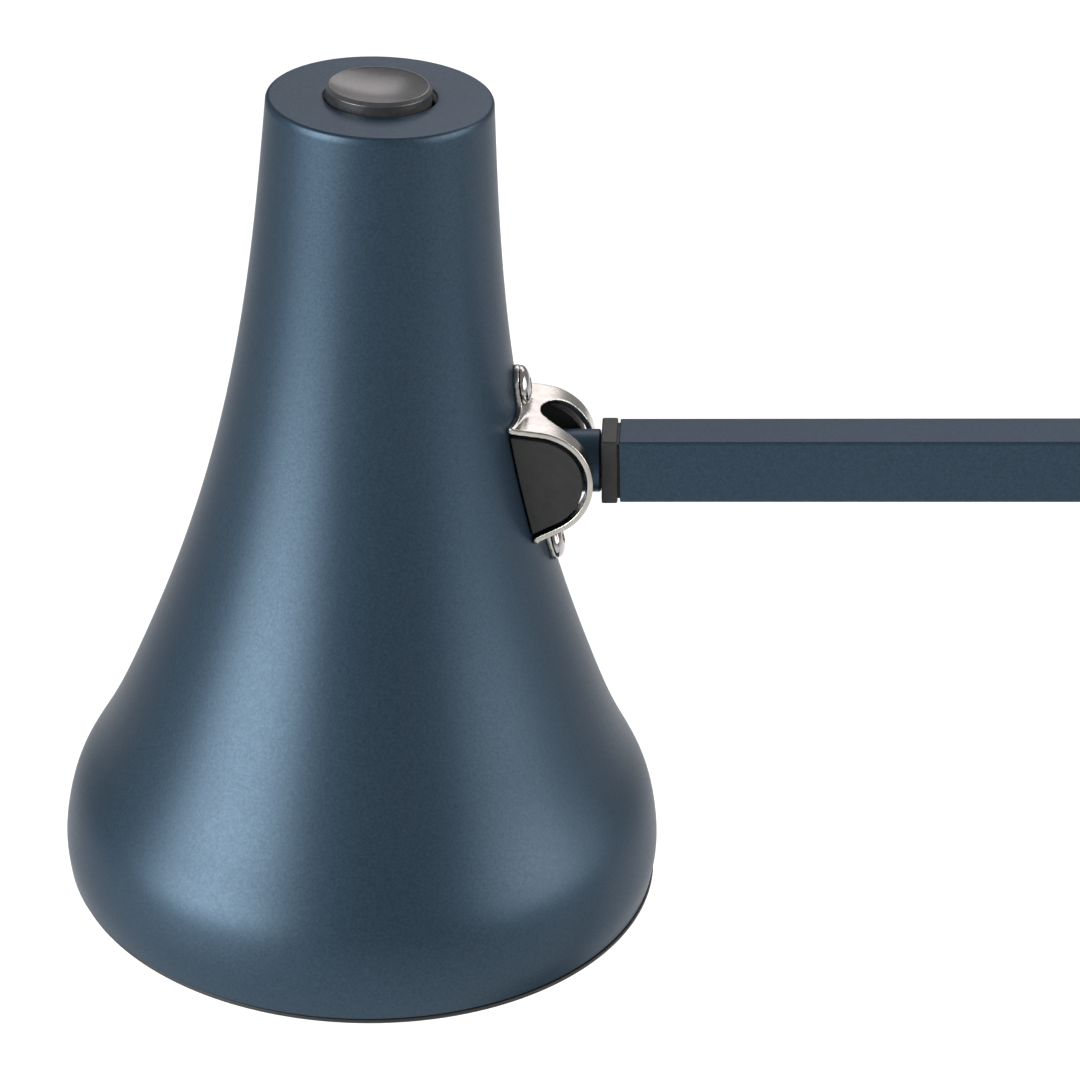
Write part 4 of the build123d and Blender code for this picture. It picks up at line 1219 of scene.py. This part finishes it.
def build_lights():
    """Plain soft studio light: panels over the floor, behind and at both sides, and a pale world."""
    world = bpy.data.worlds.new("surround")
    world.use_nodes = True
    background = world.node_tree.nodes["Background"]
    background.inputs["Color"].default_value = (1.0, 1.0, 1.0, 1)
    background.inputs["Strength"].default_value = 0.3
    bpy.context.scene.world = world
    head = HEAD_PIVOT
    sky = emitter("floor_sky", (-0.13, 1.15, 1.4), (-0.13, 0.95, 0.0), 1.6, 1.6, 18, (1, 1, 1))
    sky.visible_glossy = False
    emitter("back_panel", (0.45, 1.9, 1.9), head, 2.2, 1.3, 16, (1.0, 0.93, 0.95))
    left = head + Vector((-0.86, -0.66, 0.2))
    emitter("left_panel", left, head, 1.05, 0.8, 4.4, (0.98, 1.0, 1.0), spread=70)
    right = head + Vector((1.1, -0.2, 0.3))
    emitter("right_panel", right, head, 1.4, 0.8, 3.2, (1.0, 0.98, 0.96), spread=75)


def build_camera():
    """The camera at the photograph's viewing angle, close on the head."""
    data = bpy.data.cameras.new("camera")
    data.sensor_width = 36.0
    data.lens = CAMERA_LENS
    data.clip_start = 0.01
    camera = bpy.data.objects.new("camera", data)
    turn = camera_matrix(CAMERA_AZIMUTH, CAMERA_DOWN, CAMERA_ROLL)
    camera.matrix_world = Matrix.Translation(HEAD_PIVOT + CAMERA_OFFSET) @ turn
    bpy.context.scene.collection.objects.link(camera)
    bpy.context.scene.camera = camera


def camera_matrix(azimuth, elevation, roll):
    """A camera's turn: azimuth from +Y towards +X, looking down by elevation, then rolled."""
    a, e = math.radians(azimuth), math.radians(elevation)
    forward = Vector((math.sin(a) * math.cos(e), math.cos(a) * math.cos(e), -math.sin(e)))
    look = forward.to_track_quat("-Z", "Y").to_matrix().to_4x4()
    return look @ Matrix.Rotation(math.radians(roll), 4, "Z")


# ---- assembly ----

build_shade()
build_rim_ring()
build_button()
build_button_spring()
build_strap()
build_cheek(-1, "cheek_plate_near", "cheek_near")
build_cheek(1, "cheek_plate_far", "cheek_far")
build_strap_screws()
build_stem()
build_under_shade()

build_tube("upper_arm_tube", UPPER, UPPER_LENGTH, "upper_arm", "upper_tube")
build_fitting("upper_front_collar", UPPER, "upper_arm", "upper_front_plug")
build_fitting("upper_rear_eye", UPPER, "upper_arm", "upper_rear_plug", UPPER_LENGTH, True)
build_pin("upper_arm_pin", (UPPER_LENGTH - UPPER_SPRING_AT, 0, 0), UPPER, "upper_arm", "upper_spring_pin")
build_tube("lower_arm_tube", LOWER, LOWER_LENGTH, "lower_arm", "lower_tube")
build_fitting("lower_bottom_eye", LOWER, "lower_arm", "lower_bottom_plug", None, True)
build_fitting("lower_top_eye", LOWER, "lower_arm", "lower_top_plug", LOWER_LENGTH, True)
build_pin("lower_arm_pin", (LOWER_SPRING_AT, 0, 0), LOWER, "lower_arm", "lower_spring_pin")
build_link()

build_elbow_plates()
build_fork()
low_x, low_z = in_mm(LOWER_PIVOT)
top_x, top_z = in_mm(LOWER_TOP)
elbow_x, elbow_z = in_mm(ELBOW)
low_anchor = (low_x + LOWER_ANCHOR[0], 0, low_z + LOWER_ANCHOR[1])
high_anchor = (elbow_x + UPPER_ANCHOR[0], 0, elbow_z + UPPER_ANCHOR[1])
build_bolts("fork", [(low_x, low_z), (low_x + LINK_OFFSET, low_z)], "fork", "bracket_bolts", "bracket_nuts")
elbow_centres = [(top_x, top_z), (top_x + LINK_OFFSET, top_z), (elbow_x, elbow_z)]
build_bolts("elbow", elbow_centres, "elbow", "elbow_bolts", "elbow_nuts")
build_pin("fork_anchor_pin", low_anchor, LAMP, "fork", "lower_anchor_pin")
build_pin("elbow_anchor_pin", high_anchor, LAMP, "elbow", "upper_anchor_pin")
lower_hook = LOWER @ Vector((LOWER_SPRING_AT, 0, 0)) / MM
upper_hook = UPPER @ Vector((UPPER_LENGTH - UPPER_SPRING_AT, 0, 0)) / MM
build_springs("lower_spring", low_anchor, lower_hook, "lower_springs")
build_springs("upper_spring", high_anchor, upper_hook, "upper_springs")
build_base()
dress_cad()

build_floor()
build_lights()
build_camera()
bpy.context.scene.view_settings.view_transform = "Standard"
